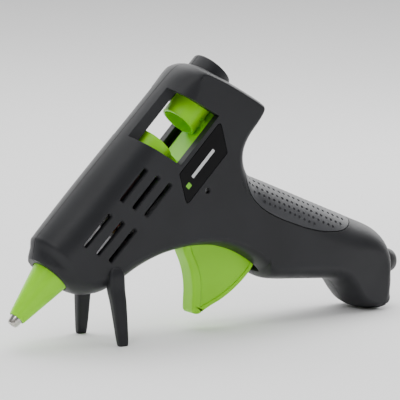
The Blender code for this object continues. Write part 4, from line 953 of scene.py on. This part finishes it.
@dataclass
class Casing:
    """Both moulded halves, with their windows, vents, legs, inlet and screw seats."""

    shell: Shell
    finishes: Finishes
    gap: float = 0.3
    parting: float = 0.15
    collar_radius: float = 9.5
    collar_end: float = 143.6
    stick_bore: float = 4.2
    window_floor: float = -9.0
    window_roof: float = 10.0
    window_front: tuple[float, float] = (93.6, 97.9)
    window_rear: tuple[float, float] = (121.2, 126.0)
    guide: float = 5.5
    reveal: float = 3.9
    sleeve_radius: float = 8.4
    label: tuple[Point, ...] = ((95.0, -11.2), (124.6, -11.2), (117.4, -23.3), (88.0, -23.3))
    label_depth: float = 0.8
    pin_boss: float = 4.6
    pin_bore: float = 1.65
    pin_sight: float = 1.3
    vent_rows: tuple[tuple[float, float], ...] = ((3.0, 0.0), (-4.0, 1.7), (-10.8, 3.4))
    vent_starts: tuple[float, float] = (42.5, 67.8)
    vent_size: tuple[float, float] = (17.8, 1.9)
    vent_cuts: tuple[float, float] = (0.1, 0.4)
    vent_lip_depth: float = 0.45
    beyond: float = 20.0
    trigger_room: tuple[Point, ...] = (
        (72.4, -29.0), (72.4, -43.0), (60.0, -60.0), (60.0, -79.2), (89.0, -79.2),
        (97.0, -78.6), (101.0, -74.0), (101.0, -29.0),
    )
    trigger_room_half: float = 5.1
    gland_height: float = 20.0
    gland_bores: tuple[tuple[float, float, float], ...] = ((4.6, 140.0, 154.0), (5.3, 132.0, 147.4))
    grip_depth: float = 1.5
    grip_seam: tuple[Point, ...] = (
        (119.4, -37.0), (115.2, -41.0), (112.6, -47.0), (112.4, -54.0), (114.2, -62.0),
        (118.0, -71.5), (122.8, -81.5), (128.2, -89.6), (133.4, -95.4), (138.4, -98.2), (144.0, -99.4),
    )
    leg_sections: tuple[tuple[float, float, float, float, float], ...] = (
        (33.6, -0.8, -4.4, 2.6, 2.4), (32.4, -0.8, -4.0, 5.6, 3.8), (29.8, -0.8, -3.6, 7.2, 4.8),
        (24.0, -0.6, -3.7, 7.2, 5.6), (18.0, -0.3, -2.4, 6.7, 4.8), (8.0, 0.1, -1.0, 5.6, 4.1),
        (1.2, 0.3, -0.1, 4.6, 3.5), (-0.6, 0.3, 0.0, 3.2, 2.4),
    )
    screw_boss: float = 3.5
    screw_pilot: tuple[float, float] = (1.5, 8.5)
    screw_head_room: float = 2.9
    screws: tuple[tuple[str, float, float, float, float], ...] = (
        ("screw_tail", 136.8, -18.5, 7.0, 12.5), ("screw_barrel_top", 74.6, 10.8, 4.0, 6.9),
        ("screw_belly", 58.5, -20.6, 7.0, 12.4), ("screw_grip", 111.0, -82.5, 7.0, 12.5),
        ("screw_foot", 124.0, -128.0, 7.0, 11.5),
    )

    def window(self, grow: float, roof: float, floor: float = 0.0) -> list[Point]:
        """Outline of the stick window.

        Args:
            grow: how far outside the opening it runs.
            roof: height of its upper edge.
            floor: how much deeper its lower edge is.

        Returns:
            The outline.
        """
        height = self.window_roof - self.window_floor
        low = self.window_floor - grow - floor
        ends = []
        for sign, (at_roof, at_floor) in ((-1.0, self.window_front), (1.0, self.window_rear)):
            slope = (at_roof - at_floor) / height
            ends.append([(at_floor + slope * (level - self.window_floor) + sign * grow, level)
                         for level in (low, roof)])
        return [ends[0][0], ends[1][0], ends[1][1], ends[0][1]]

    def slot(self, start: float, height: float, grow: float = 0.0) -> list[Point]:
        """Outline of one vent, with round ends.

        Args:
            start: its front end.
            height: its middle line.
            grow: how much wider it is on every side.

        Returns:
            The outline.
        """
        length, width = self.vent_size
        low, high = height - width / 2.0 - grow, height + width / 2.0 + grow
        corners = [(start - grow, low), (start + length + grow, low),
                   (start + length + grow, high), (start - grow, high)]
        return rounded_outline(corners, width / 2.0 + grow - 0.05, 8)

    def seam(self, grow: float) -> list[Point]:
        """Outline of the grip's zone on the handle.

        Args:
            grow: how far outside the seam it runs.

        Returns:
            The outline.
        """
        knots = smooth_run(self.grip_seam, 5)
        outline: list[Point] = []
        for index, point in enumerate(knots):
            along = knots[min(index + 1, len(knots) - 1)] - knots[max(index - 1, 0)]
            square = Vector((along.y, -along.x)).normalized()
            outline.append(tuple(point + square * grow))
        foot, neck = knots[-1], knots[0]
        return outline + [(foot.x + 16.0, foot.y - 2.0 - grow), (foot.x + 16.0, neck.y + 1.0),
                          (neck.x + 10.0, neck.y - 0.5 + grow)]

    def leg(self, side: int) -> Solid:
        """One leg: a tapering rounded bar that grows out of the casing's side.

        Args:
            side: -1 for the left and 1 for the right.

        Returns:
            The leg.
        """
        rings = []
        for height, x_mid, y_in, width, depth in smooth_run(self.leg_sections, 4):
            y_mid = side * (17.0 + y_in)
            half_w, half_d = width / 2.0, depth / 2.0
            ring = rounded_outline([(half_w, half_d), (-half_w, half_d), (-half_w, -half_d),
                                    (half_w, -half_d)], min(width, depth) * 0.34, 5)
            rings.append([(x_mid + u, y_mid + v, height) for u, v in ring])
        return lofted(rings, Frame.STANDING)

    def label_outline(self, grow: float, radius: float) -> list[Point]:
        """Outline of the side plate or of its seat.

        Args:
            grow: how far outside the plate it runs.
            radius: its corners' radius.

        Returns:
            The outline.
        """
        lean = (self.label[1][0] - self.label[2][0]) / (self.label[1][1] - self.label[2][1])
        run = grow * math.hypot(1.0, lean)
        shifts = ((-run + lean * grow, grow), (run + lean * grow, grow),
                  (run - lean * grow, -grow), (-run - lean * grow, -grow))
        corners = [(x + dx, z + dz) for (x, z), (dx, dz) in zip(self.label, shifts)]
        return rounded_outline(corners, radius)

    def inlet(self) -> Solid:
        """The stick's way in: a bore with a rounded, flared mouth.

        Returns:
            The cutter.
        """
        end, bore = self.collar_end, self.stick_bore
        mouth = [(end + 0.5, bore + 4.0), (end - 0.4, bore + 3.1)]
        for step in range(1, 6):
            turn = step * math.pi / 12
            mouth.append((end - 0.4 - 3.0 * math.sin(turn), bore + 3.1 * math.cos(turn)))
        return turned([(end + 0.5, 0.0), *mouth, (end - 3.6, bore), (129.0, bore), (129.0, 0.0)])

    def sleeve_seat(self) -> Solid:
        """Room for the nozzle sleeve and its flange.

        Returns:
            The cutter.
        """
        radius = self.sleeve_radius
        return turned([(37.0, 0.0), (37.0, radius - 0.7), (32.5, radius - 0.7), (32.5, radius + 1.6),
                       (29.5, radius + 1.6), (29.5, radius + 0.3), (24.0, radius + 0.3), (24.0, 0.0)])

    def collar(self) -> Solid:
        """The round collar of the stick inlet, at the barrel's tail.

        Returns:
            The collar, still without its bore.
        """
        end, radius = self.collar_end, self.collar_radius
        return turned([(end, 0.0), (end, radius - 0.9), (end - 0.25, radius - 0.35),
                       (end - 0.9, radius), (131.0, radius), (131.0, 0.0)])

    def walls_inside(self, side: int) -> list[Solid]:
        """What one half has inside: guide rail, window frame, shelf and the boss of the pin.

        Args:
            side: -1 for the left and 1 for the right.

        Returns:
            The pieces to join on.
        """
        half, inner = self.shell.half, self.shell.half - self.shell.wall
        x, z = PIVOT
        low, high = span(side, self.guide - 1.6, self.guide + 1.0)
        made = [block((89.0, low, self.window_roof), (130.0, high, 14.3), 0.25)]
        low, high = span(side, half - self.reveal, half - 1.2)
        made.append(plate(self.window(1.8, self.window_roof - 2.0), low, high, 0.2))
        low, high = span(side, 5.9, inner + 0.8)
        made.append(block((86.0, low, -14.2), (131.5, high, -12.8)))
        low, high = span(side, 5.3, inner + 0.8)
        made.append(bar(self.pin_boss, (x, low, z), (x, high, z)))
        return made

    def side_openings(self, side: int) -> list[Solid]:
        """What is cut into one side: window, seat of the plate, bore of the pin and vents.

        Args:
            side: -1 for the left and 1 for the right.

        Returns:
            The cutters.
        """
        half, inner = self.shell.half, self.shell.half - self.shell.wall
        x, z = PIVOT
        low, high = span(side, self.guide, self.beyond)
        made = [plate(self.window(0.0, 17.4), low, high)]
        low, high = span(side, half - self.label_depth, self.beyond)
        made.append(plate(self.label_outline(self.gap, 1.6), low, high))
        low, high = span(side, -0.5, 12.5)
        made.append(bar(self.pin_bore, (x, low, z), (x, high, z)))
        low, high = span(side, 1.0, self.beyond)
        made.append(bar(self.pin_sight, (x, low, z), (x, high, z)))
        for height, back in self.vent_rows:
            for start in self.vent_starts:
                for grow, floor in zip(self.vent_cuts, (inner - 1.0, half - self.vent_lip_depth)):
                    low, high = span(side, floor, self.beyond)
                    made.append(plate(self.slot(start + back, height, grow), low, high))
        return made

    def middle_openings(self) -> list[Solid]:
        """What is cut across both halves: the trigger's room, the gland's seat and the bench's plane.

        Returns:
            The cutters.
        """
        made = [plate(self.trigger_room, -self.trigger_room_half, self.trigger_room_half)]
        for radius, start, end in self.gland_bores:
            made.append(bar(radius, (start, 0.0, self.gland_height), (end, 0.0, self.gland_height), 64,
                            Frame.STANDING))
        made.append(block((-90.0, -60.0, -30.0), (200.0, 60.0, 0.0), 0.0, Frame.STANDING))
        return made

    def both_halves(self) -> Solid:
        """The casing before it is split.

        Returns:
            Both halves in one solid.
        """
        body = self.shell.body(0.0)
        body.join(self.collar(), self.leg(-1), self.leg(1))
        body.cut(self.shell.body(self.shell.wall, 4, 3))
        inside = [bar(self.stick_bore + 2.2, (131.2, 0, 0), (141.0, 0, 0), 64)]
        outside = [self.inlet(), self.sleeve_seat()]
        for side in (-1, 1):
            inside += self.walls_inside(side)
            outside += self.side_openings(side)
        pilot, reach = self.screw_pilot
        for _, x, z, _, boss in self.screws:
            inside.append(bar(self.screw_boss, (x, -boss, z), (x, boss, z), 32))
            outside.append(bar(pilot, (x, -reach, z), (x, reach, z), 24))
        body.join(*inside)
        body.cut(*outside, *self.middle_openings())
        grip = plate(self.seam(self.gap + 0.15), -30.0, 30.0)
        grip.cut(self.shell.body(self.grip_depth + self.gap, 7, 3))
        return body.cut(grip)

    def build(self) -> None:
        """Split the casing into its two halves and finish them."""
        whole = self.both_halves()
        right = whole.copy()
        far, near = 40.0, self.parting
        whole.cut(block((-20.0, -near, -220.0), (260.0, far, 60.0)))
        heads = [bar(self.screw_head_room, (x, seat, z), (x, self.beyond, z), 48)
                 for _, x, z, seat, _ in self.screws]
        right.cut(block((-20.0, -far, -220.0), (260.0, near, 60.0)), *heads)
        charcoal = self.finishes.charcoal
        whole.piece("left_shell", charcoal, "body", "charcoal_plastic", nodes=("left_casing",))
        right.piece("right_shell", charcoal, "body", "charcoal_plastic", nodes=("right_casing",))


@dataclass
class Grip:
    """The soft grip let into the back of the handle, with its rows of dimples."""

    casing: Casing
    finishes: Finishes
    rows: tuple[float, ...] = (0.4, 2.6, 5.4, 8.2, 11.0, 13.8)
    pitch: float = 2.9
    dimple: float = 0.78
    margin: float = 1.9
    span: tuple[int, int] = (22, 33)
    walk: int = 40

    def inside(self, point: Vector) -> bool:
        """Whether a dimple at a point keeps clear of the seam.

        Args:
            point: the dimple's middle.

        Returns:
            True if it does.
        """
        outline = self.casing.seam(-self.margin)
        within = False
        for (x1, z1), (x2, z2) in zip(outline, outline[1:] + outline[:1]):
            if (z1 > point.z) == (z2 > point.z):
                continue
            if point.x < (x2 - x1) * (point.z - z1) / (z2 - z1) + x1:
                within = not within
        return within

    def dimples(self) -> Solid:
        """All the dimples' cutters in one mesh, staggered from row to row.

        Returns:
            The cutters.
        """
        shell = self.casing.shell
        bm = bmesh.new()
        for number, depth in enumerate(self.rows):
            travelled, last = 0.0, None
            following = self.pitch * (0.5 if number % 2 else 1.0)
            for step in range(self.span[0] * self.walk, self.span[1] * self.walk):
                at = shell.surface(step / self.walk, depth)
                travelled += (at - last).length if last else 0.0
                last = at
                if travelled < following:
                    continue
                following += self.pitch
                for side in (-1.0, 1.0):
                    spot = Vector((at.x, side * at.y, at.z))
                    if self.inside(spot):
                        bmesh.ops.create_icosphere(bm, subdivisions=2, radius=self.dimple,
                                                   matrix=Matrix.Translation(spot))
        return Solid(bm)

    def build(self) -> None:
        """Cut the grip from the handle's form and press the dimples in."""
        pad = plate(self.casing.seam(0.0), -30.0, 30.0)
        pad.keep(self.casing.shell.body(0.0, 7, 0))
        pad.cut(self.casing.shell.body(self.casing.grip_depth, 7, 3), self.dimples())
        pad.piece("soft_grip", self.finishes.grip, "body", "soft_grip", nodes=("grip_pad",))


# ------------------------------------------------------------------ nozzle


@dataclass
class Nozzle:
    """The plated nozzle and the green sleeve round it."""

    finishes: Finishes
    rim: float = 2.1
    sleeve_start: float = 3.4
    sleeve_tip: float = 3.7
    base: float = 27.2
    base_radius: float = 8.4

    def build(self) -> None:
        """Turn both pieces."""
        tip = [(0.9, self.rim + 0.35), (0.35, self.rim + 0.08), (0.1, self.rim - 0.02),
               (0.0, self.rim - 0.2)]
        inside = [(0.0, 1.3), (0.15, 1.1), (0.7, 1.0), (4.0, 1.0), (6.0, 1.5), (19.0, 1.5), (19.0, 2.4)]
        outside = [(19.0, 2.4), (12.2, 2.4), (12.2, 3.2), (12.1, 3.3), (8.1, 3.3), (8.0, 3.2),
                   (8.0, 2.9), (3.6, 2.9)]
        nozzle = turned(outside + tip + inside, steps=96)
        nozzle.piece("nozzle_tip", self.finishes.plated, "body", "plated_brass", nodes=("nozzle",))
        start, tip_radius, end = self.sleeve_start, self.sleeve_tip, 36.0
        lip = self.base_radius + 1.3
        nose = [(start + 0.9 - 0.9 * math.cos(t * math.pi / 16),
                 tip_radius - 0.45 + 0.5 * math.sin(t * math.pi / 16)) for t in range(8, -1, -1)]
        bore = [(start, 3.25), (7.6, 3.25), (7.6, 3.7), (12.6, 3.7), (12.6, 4.0), (19.6, 4.2),
                (19.6, 5.75), (end, 5.75), (end, 7.0)]
        cone = [(end, 7.0), (32.2, self.base_radius - 1.2), (32.2, lip), (29.8, lip),
                (29.8, self.base_radius), (self.base, self.base_radius),
                (self.base - 0.8, self.base_radius - 0.12), (start + 2.4, tip_radius + 0.42)]
        sleeve = turned(cone + nose + bore, steps=128)
        sleeve.piece("nose_sleeve", self.finishes.green, "body", "green_plastic",
                     nodes=("nozzle_sleeve",))


# ------------------------------------------------------------------ moving pieces


def set_in(outline: Sequence[Point], amount: float) -> list[Point]:
    """Move every point of a smooth closed outline inwards.

    Args:
        outline: its points.
        amount: how far they move.

    Returns:
        The smaller outline.
    """
    loop = [Vector(point) for point in outline]
    area = sum(a.x * b.y - b.x * a.y for a, b in zip(loop, loop[1:] + loop[:1]))
    made = []
    for index, point in enumerate(loop):
        along = (loop[(index + 1) % len(loop)] - loop[index - 1]).normalized()
        square = Vector((-along.y, along.x)) * math.copysign(amount, area)
        made.append(tuple(point + square))
    return made


def cushion(outline: Sequence[Point], half: float, edge: float, steps: int = 5) -> Solid:
    """A plate with fully rounded rims, made from rings of its outline set in step by step.

    Args:
        outline: (x, z) points, given round the plate.
        half: half of its thickness.
        edge: rounding of its rims.
        steps: rings in each rounding.

    Returns:
        The plate, centred on the parting plane.
    """
    rings = []
    for step in range(2 * steps + 2):
        turn = math.pi / 2.0 * (step if step <= steps else 2 * steps + 1 - step) / steps
        level = half - edge + edge * math.cos(turn)
        level = -level if step <= steps else level
        rings.append([(x, level, z) for x, z in set_in(outline, edge * (1.0 - math.sin(turn)))])
    return lofted(rings)


@dataclass
class Trigger:
    """The trigger: a hollow-faced finger pad, a sector web with a raised rim, a hub and an arm."""

    finishes: Finishes
    head: Point = (97.5, -9.6)
    pad_half: float = 4.6
    web_half: float = 3.7
    band_half: float = 4.25
    steps: int = 5
    face: tuple[Point, ...] = (
        (81.6, -34.6), (79.2, -38.4), (75.8, -42.7), (73.6, -48.0), (70.7, -53.2), (66.8, -58.0),
        (62.6, -61.8), (60.0, -64.4),
    )
    toe: tuple[Point, ...] = ((59.8, -66.2), (61.2, -68.1), (63.8, -68.8))
    rim: tuple[Point, ...] = (
        (68.0, -70.3), (73.5, -72.6), (79.5, -74.2), (86.0, -75.2), (92.0, -75.35), (95.8, -74.6),
    )
    hub: tuple[Point, ...] = (
        (100.6, -56.0), (103.2, -30.0), (101.5, -25.0), (97.0, -24.0), (92.0, -26.0),
    )
    pad_back: tuple[Point, ...] = (
        (64.4, -66.4), (68.9, -62.4), (72.9, -58.2), (76.2, -53.0), (78.2, -47.4), (81.2, -42.4),
        (84.6, -38.4),
    )
    band_back: tuple[Point, ...] = (
        (95.6, -72.8), (92.0, -73.5), (86.2, -73.3), (80.2, -72.3), (74.4, -70.8), (68.8, -68.6),
        (64.8, -66.8), (62.6, -66.4),
    )
    boss: tuple[float, float, float] = (4.6, -4.8, 1.0)
    spring_room: tuple[float, float, float] = (4.2, 1.3, 9.0)
    pin_bore: float = 1.65
    pin: tuple[Point, ...] = (
        (12.2, 0.0), (12.2, 1.2), (11.9, 1.5), (-11.9, 1.5), (-12.2, 1.2), (-12.2, 0.0),
    )

    def run(self, points: Sequence[Point], steps: int) -> list[Point]:
        """A smooth run through points."""
        return [tuple(point) for point in smooth_run(points, steps)]

    def build(self) -> None:
        """Model the trigger with its pin."""
        front = self.run(self.face + self.toe + self.rim, self.steps)
        pad_end = self.steps * (len(self.face) + len(self.toe) - 1) + 1
        band_start = self.steps * (len(self.face) + 2) - 1
        web = cushion(set_in(front + list(self.hub), 0.5), self.web_half, 0.4)
        pad = cushion(front[:pad_end] + self.run(self.pad_back, 4), self.pad_half, 1.3, 7)
        band = cushion(front[band_start:] + self.run(self.band_back, 4), self.band_half, 0.45)
        x, z = PIVOT
        radius, low, high = self.boss
        boss = bar(radius, (x, low, z), (x, high, z), 64)
        top_x, top_z = self.head
        arm = plate([(x - 2.6, z), (x + 2.6, z), (top_x + 1.5, top_z), (top_x - 1.5, top_z)], -2.6, 1.0)
        head = bar(2.2, (top_x, -2.59, top_z), (top_x, 2.59, top_z), 48)
        radius, low, high = self.spring_room
        room = bar(radius, (x, low, z), (x, high, z), 64)
        bore = bar(self.pin_bore, (x, -9.0, z), (x, 9.0, z), 48)
        web.join(pad, band, boss, arm, head)
        web.cut(room, bore)
        web.piece("finger_trigger", self.finishes.green, "trigger", "green_plastic", 36, ("trigger",))
        pin = turned(self.pin, "y", (x, 0.0, z), 48)
        pin.piece("hinge_pin", self.finishes.steel, "body", "steel", nodes=("trigger_pin",))


@dataclass
class Carriage:
    """The sliding stick carriage with its toothed gripper."""

    finishes: Finishes
    ring: tuple[float, float, float] = (91.5, 101.3, 8.8)
    tube: tuple[float, float, float] = (115.4, 129.0, 8.2)
    drop: float = 2.87
    tube_wall: float = 1.2
    floor: float = -11.1
    under: float = -12.4
    sled_half: float = 6.9
    bore: float = 4.2
    flare: float = 0.6
    pin: Point = (121.5, -7.2)
    pin_bore: float = 0.95
    bite: float = -3.95
    bite_half: float = 2.1

    def build(self) -> None:
        """Model the carriage, then the lever in it."""
        self.carriage()
        self.lever()

    def carriage(self) -> None:
        """Model the sled with its front ring and its rear tube."""
        start, end, radius = self.ring
        front, rear, outer = self.tube
        back = rear - 0.02
        sled = block((start, -self.sled_half, self.under), (rear, self.sled_half, self.floor), 0.3)
        ring = turned([(end, 0.0), (end, radius - 0.5), (end - 0.15, radius - 0.15), (end - 0.5, radius),
                       (start + 0.9, radius), (start + 0.4, radius - 0.15), (start + 0.05, radius - 0.6),
                       (start + 0.05, 0.0)])
        web = block((start + 0.1, -5.2, self.floor - 0.6), (end - 0.1, 5.2, -4.0), 0.2)
        tube = turned([(back, 0.0), (back, outer - 0.4), (back - 0.4, outer), (front + 0.5, outer),
                       (front + 0.12, outer - 0.12), (front, outer - 0.4), (front, 0.0)],
                      centre=(0.0, 0.0, -self.drop), steps=128)
        wide = self.bore + self.flare
        stick = turned([(end + 2.0, 0.0), (end + 2.0, self.bore + 0.5), (end + 0.1, self.bore + 0.5),
                        (end - 0.5, self.bore), (start + 0.6, self.bore), (start - 0.1, wide),
                        (80.0, wide), (80.0, 0.0)])
        hollow = bar(outer - self.tube_wall, (110.0, 0.0, -self.drop), (135.0, 0.0, -self.drop), 128)
        pocket = block((94.9, -3.1, self.under - 1.0), (100.7, 3.1, -self.sled_half), 0.3)
        sled.join(ring, web, tube)
        sled.cut(stick, hollow, pocket)
        x, z = self.pin
        for side in (-1, 1):
            near, far = span(side, 2.4, 4.4)
            sled.join(block((x - 1.8, near, self.floor - 0.5), (x + 1.8, far, z + 1.5), 0.2))
        sled.cut(bar(self.pin_bore, (x, -9.0, z), (x, 9.0, z), 32))
        sled.piece("feed_carriage", self.finishes.green, "carriage", "green_plastic", 36,
                   ("stick_carriage",))

    def lever(self) -> None:
        """Model the toothed lever that bites the stick."""
        x, z = self.pin
        bite = self.bite
        outline = [(x + 1.6, z - 1.2), (x + 1.9, z + 0.6), (x + 0.9, bite - 0.9), (x + 0.2, bite),
                   (x - 0.5, bite - 0.8), (x - 1.2, bite), (x - 1.9, bite - 0.8), (x - 2.6, bite),
                   (x - 3.0, bite - 1.0), (x - 1.7, z - 1.0), (x - 0.4, z - 1.6)]
        lever = plate(outline, -self.bite_half, self.bite_half, 0.12, 2)
        lever.cut(bar(self.pin_bore, (x, -4.0, z), (x, 4.0, z), 32))
        lever.piece("bite_lever", self.finishes.green, "gripper", "green_plastic",
                    nodes=("stick_gripper",))


# ------------------------------------------------------------------ trim and fixings


@dataclass
class SidePlates:
    """The glossy plates under the windows, each with two plain printed bars."""

    casing: Casing
    finishes: Finishes
    thickness: float = 0.5
    bar_depth: float = 0.2
    light_bar: tuple[float, float, float, float] = (98.2, 113.8, -16.4, 1.5)
    green_bar: tuple[float, float, float, float] = (93.2, 95.6, -17.2, 2.2)

    def build(self) -> None:
        """Make both plates and their bars."""
        half = self.casing.shell.half
        for side, tag in ((-1, "left"), (1, "right")):
            low, high = span(side, half - self.thickness, half - 0.04)
            made = plate(self.casing.label_outline(0.0, 1.3), low, high, 0.08, 2)
            made.piece(f"side_plate_{tag}", self.finishes.plate, "body", "label_black",
                       nodes=(f"label_{tag}",))
            low, high = span(side, half - self.bar_depth, half - 0.01)
            for kind, sizes, finish in (("light", self.light_bar, self.finishes.mark_light),
                                        ("green", self.green_bar, self.finishes.mark_green)):
                first, last, top, tall = sizes
                corners = [(first, top - tall), (last, top - tall), (last, top), (first, top)]
                mark = plate(rounded_outline(corners, 0.35, 4), low, high)
                mark.piece(f"plate_bar_{kind}_{tag}", finish, "body", "label_black")


@dataclass
class Screws:
    """Self-tapping screws with cross recesses."""

    casing: Casing
    finishes: Finishes
    head: tuple[float, float] = (2.6, 1.7)
    crown: float = 0.55
    shank: float = 1.2
    thread_depth: float = 0.32
    thread_step: float = 0.45
    cross: tuple[float, float, float] = (1.5, 0.35, 1.0)

    def build(self) -> None:
        """Turn each screw, cut its recess and ridge its shank."""
        radius, tall = self.head
        arm, half, deep = self.cross
        for name, x, z, seat, _ in self.casing.screws:
            base = seat + 0.3
            top = base + tall
            dome = []
            for step in range(7):
                turn = step * math.pi / 12
                dome.append((top - self.crown * (1.0 - math.cos(turn)), radius * math.sin(turn)))
            thread, along = [], base - 1.0
            while along > -seat + 0.4:
                thread.append((along, self.shank - (self.thread_depth if len(thread) % 2 else 0.0)))
                along -= self.thread_step
            profile = dome + [(base, radius), (base, self.shank)] + thread + [(-seat - 1.0, 0.0)]
            screw = turned(profile, "y", (x, 0.0, z), 48)
            screw.cut(block((x - arm, top - deep, z - half), (x + arm, top + deep, z + half)),
                      block((x - half, top - deep, z - arm), (x + half, top + deep, z + arm)))
            screw.piece(name + "_fine", self.finishes.steel, "body", "steel", nodes=(name,))


@dataclass
class Gland:
    """The ribbed rubber gland in the handle's foot."""

    finishes: Finishes
    height: float = 20.0
    seat: float = 150.4
    length: float = 5.6
    bore: float = 3.0
    neck: float = 4.3
    flange: float = 5.6

    def build(self) -> None:
        """Turn the gland."""
        seat, end, inner = self.seat, self.seat + self.length, self.seat - 3.3
        dome = []
        for step in range(12, -1, -1):
            turn = step * math.pi / 24
            dome.append((seat + 1.7 + 3.9 * math.sin(turn), 3.4 + 2.15 * math.cos(turn)))
        profile = [(end, self.bore + 0.2), *dome, (seat + 1.5, self.flange - 0.25),
                   (seat + 1.3, self.flange - 0.25), (seat + 1.15, self.flange), (seat, self.flange),
                   (seat, self.neck), (inner, self.neck), (inner, self.flange - 0.6),
                   (inner - 2.0, self.flange - 0.6), (inner - 2.0, self.bore), (end - 0.2, self.bore),
                   (end, self.bore + 0.2)]
        gland = turned(profile, centre=(0.0, 0.0, self.height), steps=72, drawn=Frame.STANDING)
        gland.piece("foot_gland", self.finishes.gland, "body", "gland_rubber", nodes=("cord_gland",))


def dress_inner(finishes: Finishes) -> None:
    """Give the inner pieces, which keep their shapes, their finishes.

    Args:
        finishes: the gun's finishes.
    """
    wear = {
        "melt_chamber": finishes.cast, "contact_upper": finishes.brass, "contact_lower": finishes.brass,
        "heating_tablet": finishes.ceramic, "mica_sheet": finishes.mica, "front_support": finishes.mica,
        "rear_support": finishes.mica, "heater_clip": finishes.steel, "sleeve_clamp": finishes.steel,
        "return_spring": finishes.steel, "gripper_pin": finishes.steel, "feed_sleeve": finishes.silicone,
        "lead_live": finishes.lead_red, "lead_neutral": finishes.lead_white,
        "crimp_live": finishes.brass, "crimp_neutral": finishes.brass,
    }
    for name, finish in wear.items():
        obj = bpy.data.objects[name]
        for material_slot in obj.material_slots:
            material_slot.material = finish
        LOG.info("%s keeps its shape", name)


# ------------------------------------------------------------------ picture


@dataclass(frozen=True)
class Viewpoint:
    """The camera at the gun's left front, a little above it; places are standing ones."""

    lens: float = 248.4
    sensor: float = 36.0
    stand: tuple[float, float, float] = (-604.3, -989.6, 233.5)
    look: tuple[float, float, float] = (50.8, 0.0, 56.1)

    def build(self) -> None:
        """Stand the camera there and make it the scene's."""
        data = bpy.data.cameras.new("camera")
        data.lens = self.lens
        data.sensor_width = self.sensor
        camera = bpy.data.objects.new("camera", data)
        bpy.context.scene.collection.objects.link(camera)
        shift = Vector((Layout.middle(), 0.0, 0.0))
        camera.location = (Vector(self.stand) - shift) * MM
        target = (Vector(self.look) - shift) * MM
        camera.rotation_euler = (target - camera.location).to_track_quat("-Z", "Y").to_euler()
        bpy.context.scene.camera = camera


@dataclass(frozen=True)
class Studio:
    """A pale floor in a white room that is brighter behind the gun, and three soft square lamps."""

    floor_half: float = 6.0
    floor_shade: float = 0.93
    bright_side: tuple[float, float, float] = (0.55, 0.83, 0.0)
    glow_range: tuple[float, float] = (0.1, 0.8)
    glow: tuple[float, float] = (0.30, 2.4)
    aim: tuple[float, float, float] = (0.0, 0.0, 0.05)
    lamps: tuple[tuple[str, tuple[float, float, float], float, float], ...] = (
        ("key", (-0.6, -0.5, 0.8), 0.5, 3.0),
        ("top", (0.1, 0.3, 1.3), 1.6, 22.0),
        ("rim", (0.7, 0.2, 0.45), 0.4, 1.6),
    )

    def floor(self) -> bpy.types.Object:
        """Lay the floor.

        Returns:
            The floor.
        """
        bm = bmesh.new()
        bmesh.ops.create_grid(bm, x_segments=1, y_segments=1, size=self.floor_half)
        mesh = bpy.data.meshes.new("floor")
        bm.to_mesh(mesh)
        bm.free()
        floor = bpy.data.objects.new("floor", mesh)
        bpy.context.scene.collection.objects.link(floor)
        paint = Paint("pale_floor")
        paint.dress(Base_Color=(self.floor_shade,) * 3, Roughness=0.9, Specular_IOR_Level=0.1)
        mesh.materials.append(paint.material)
        return floor

    def room(self) -> None:
        """Fill the world with white light, brighter on one side."""
        world = bpy.data.worlds.new("white_room")
        world.use_nodes = True
        nodes, links = world.node_tree.nodes, world.node_tree.links
        behind = nodes.new("ShaderNodeVectorMath")
        behind.operation = "DOT_PRODUCT"
        behind.inputs[1].default_value = self.bright_side
        links.new(nodes.new("ShaderNodeTexCoord").outputs["Generated"], behind.inputs[0])
        ramp = nodes.new("ShaderNodeMapRange")
        ramp.interpolation_type = "SMOOTHSTEP"
        names = ("From Min", "From Max", "To Min", "To Max")
        for name, value in zip(names, (*self.glow_range, *self.glow)):
            ramp.inputs[name].default_value = value
        links.new(behind.outputs["Value"], ramp.inputs["Value"])
        links.new(ramp.outputs[0], nodes["Background"].inputs["Strength"])
        nodes["Background"].inputs["Color"].default_value = (1.0, 1.0, 1.0, 1.0)
        bpy.context.scene.world = world

    def lamp(self, name: str, place: Sequence[float], size: float, power: float) -> bpy.types.Object:
        """Hang a soft square lamp that looks at the gun.

        Args:
            name: the lamp's name.
            place: where it hangs, in metres.
            size: its side, in metres.
            power: its watts.

        Returns:
            The lamp.
        """
        data = bpy.data.lights.new(name, "AREA")
        data.shape = "SQUARE"
        data.size = size
        data.energy = power
        lamp = bpy.data.objects.new(name, data)
        lamp.location = place
        lamp.rotation_euler = (Vector(self.aim) - Vector(place)).to_track_quat("-Z", "Y").to_euler()
        bpy.context.scene.collection.objects.link(lamp)
        return lamp

    def build(self) -> None:
        """Lay the floor, light the room and hang the lamps."""
        floor = self.floor()
        self.room()
        lamps = [self.lamp(*sizes) for sizes in self.lamps]


def main() -> None:
    """Build every piece and the picture."""
    logging.basicConfig(level=logging.INFO, format="%(message)s")
    finishes = Finishes()
    casing = Casing(Shell(), finishes)
    casing.build()
    Grip(casing, finishes).build()
    Nozzle(finishes).build()
    Trigger(finishes).build()
    Carriage(finishes).build()
    SidePlates(casing, finishes).build()
    Screws(casing, finishes).build()
    Gland(finishes).build()
    dress_inner(finishes)
    Viewpoint().build()
    Studio().build()


if __name__ == "__main__":
    main()
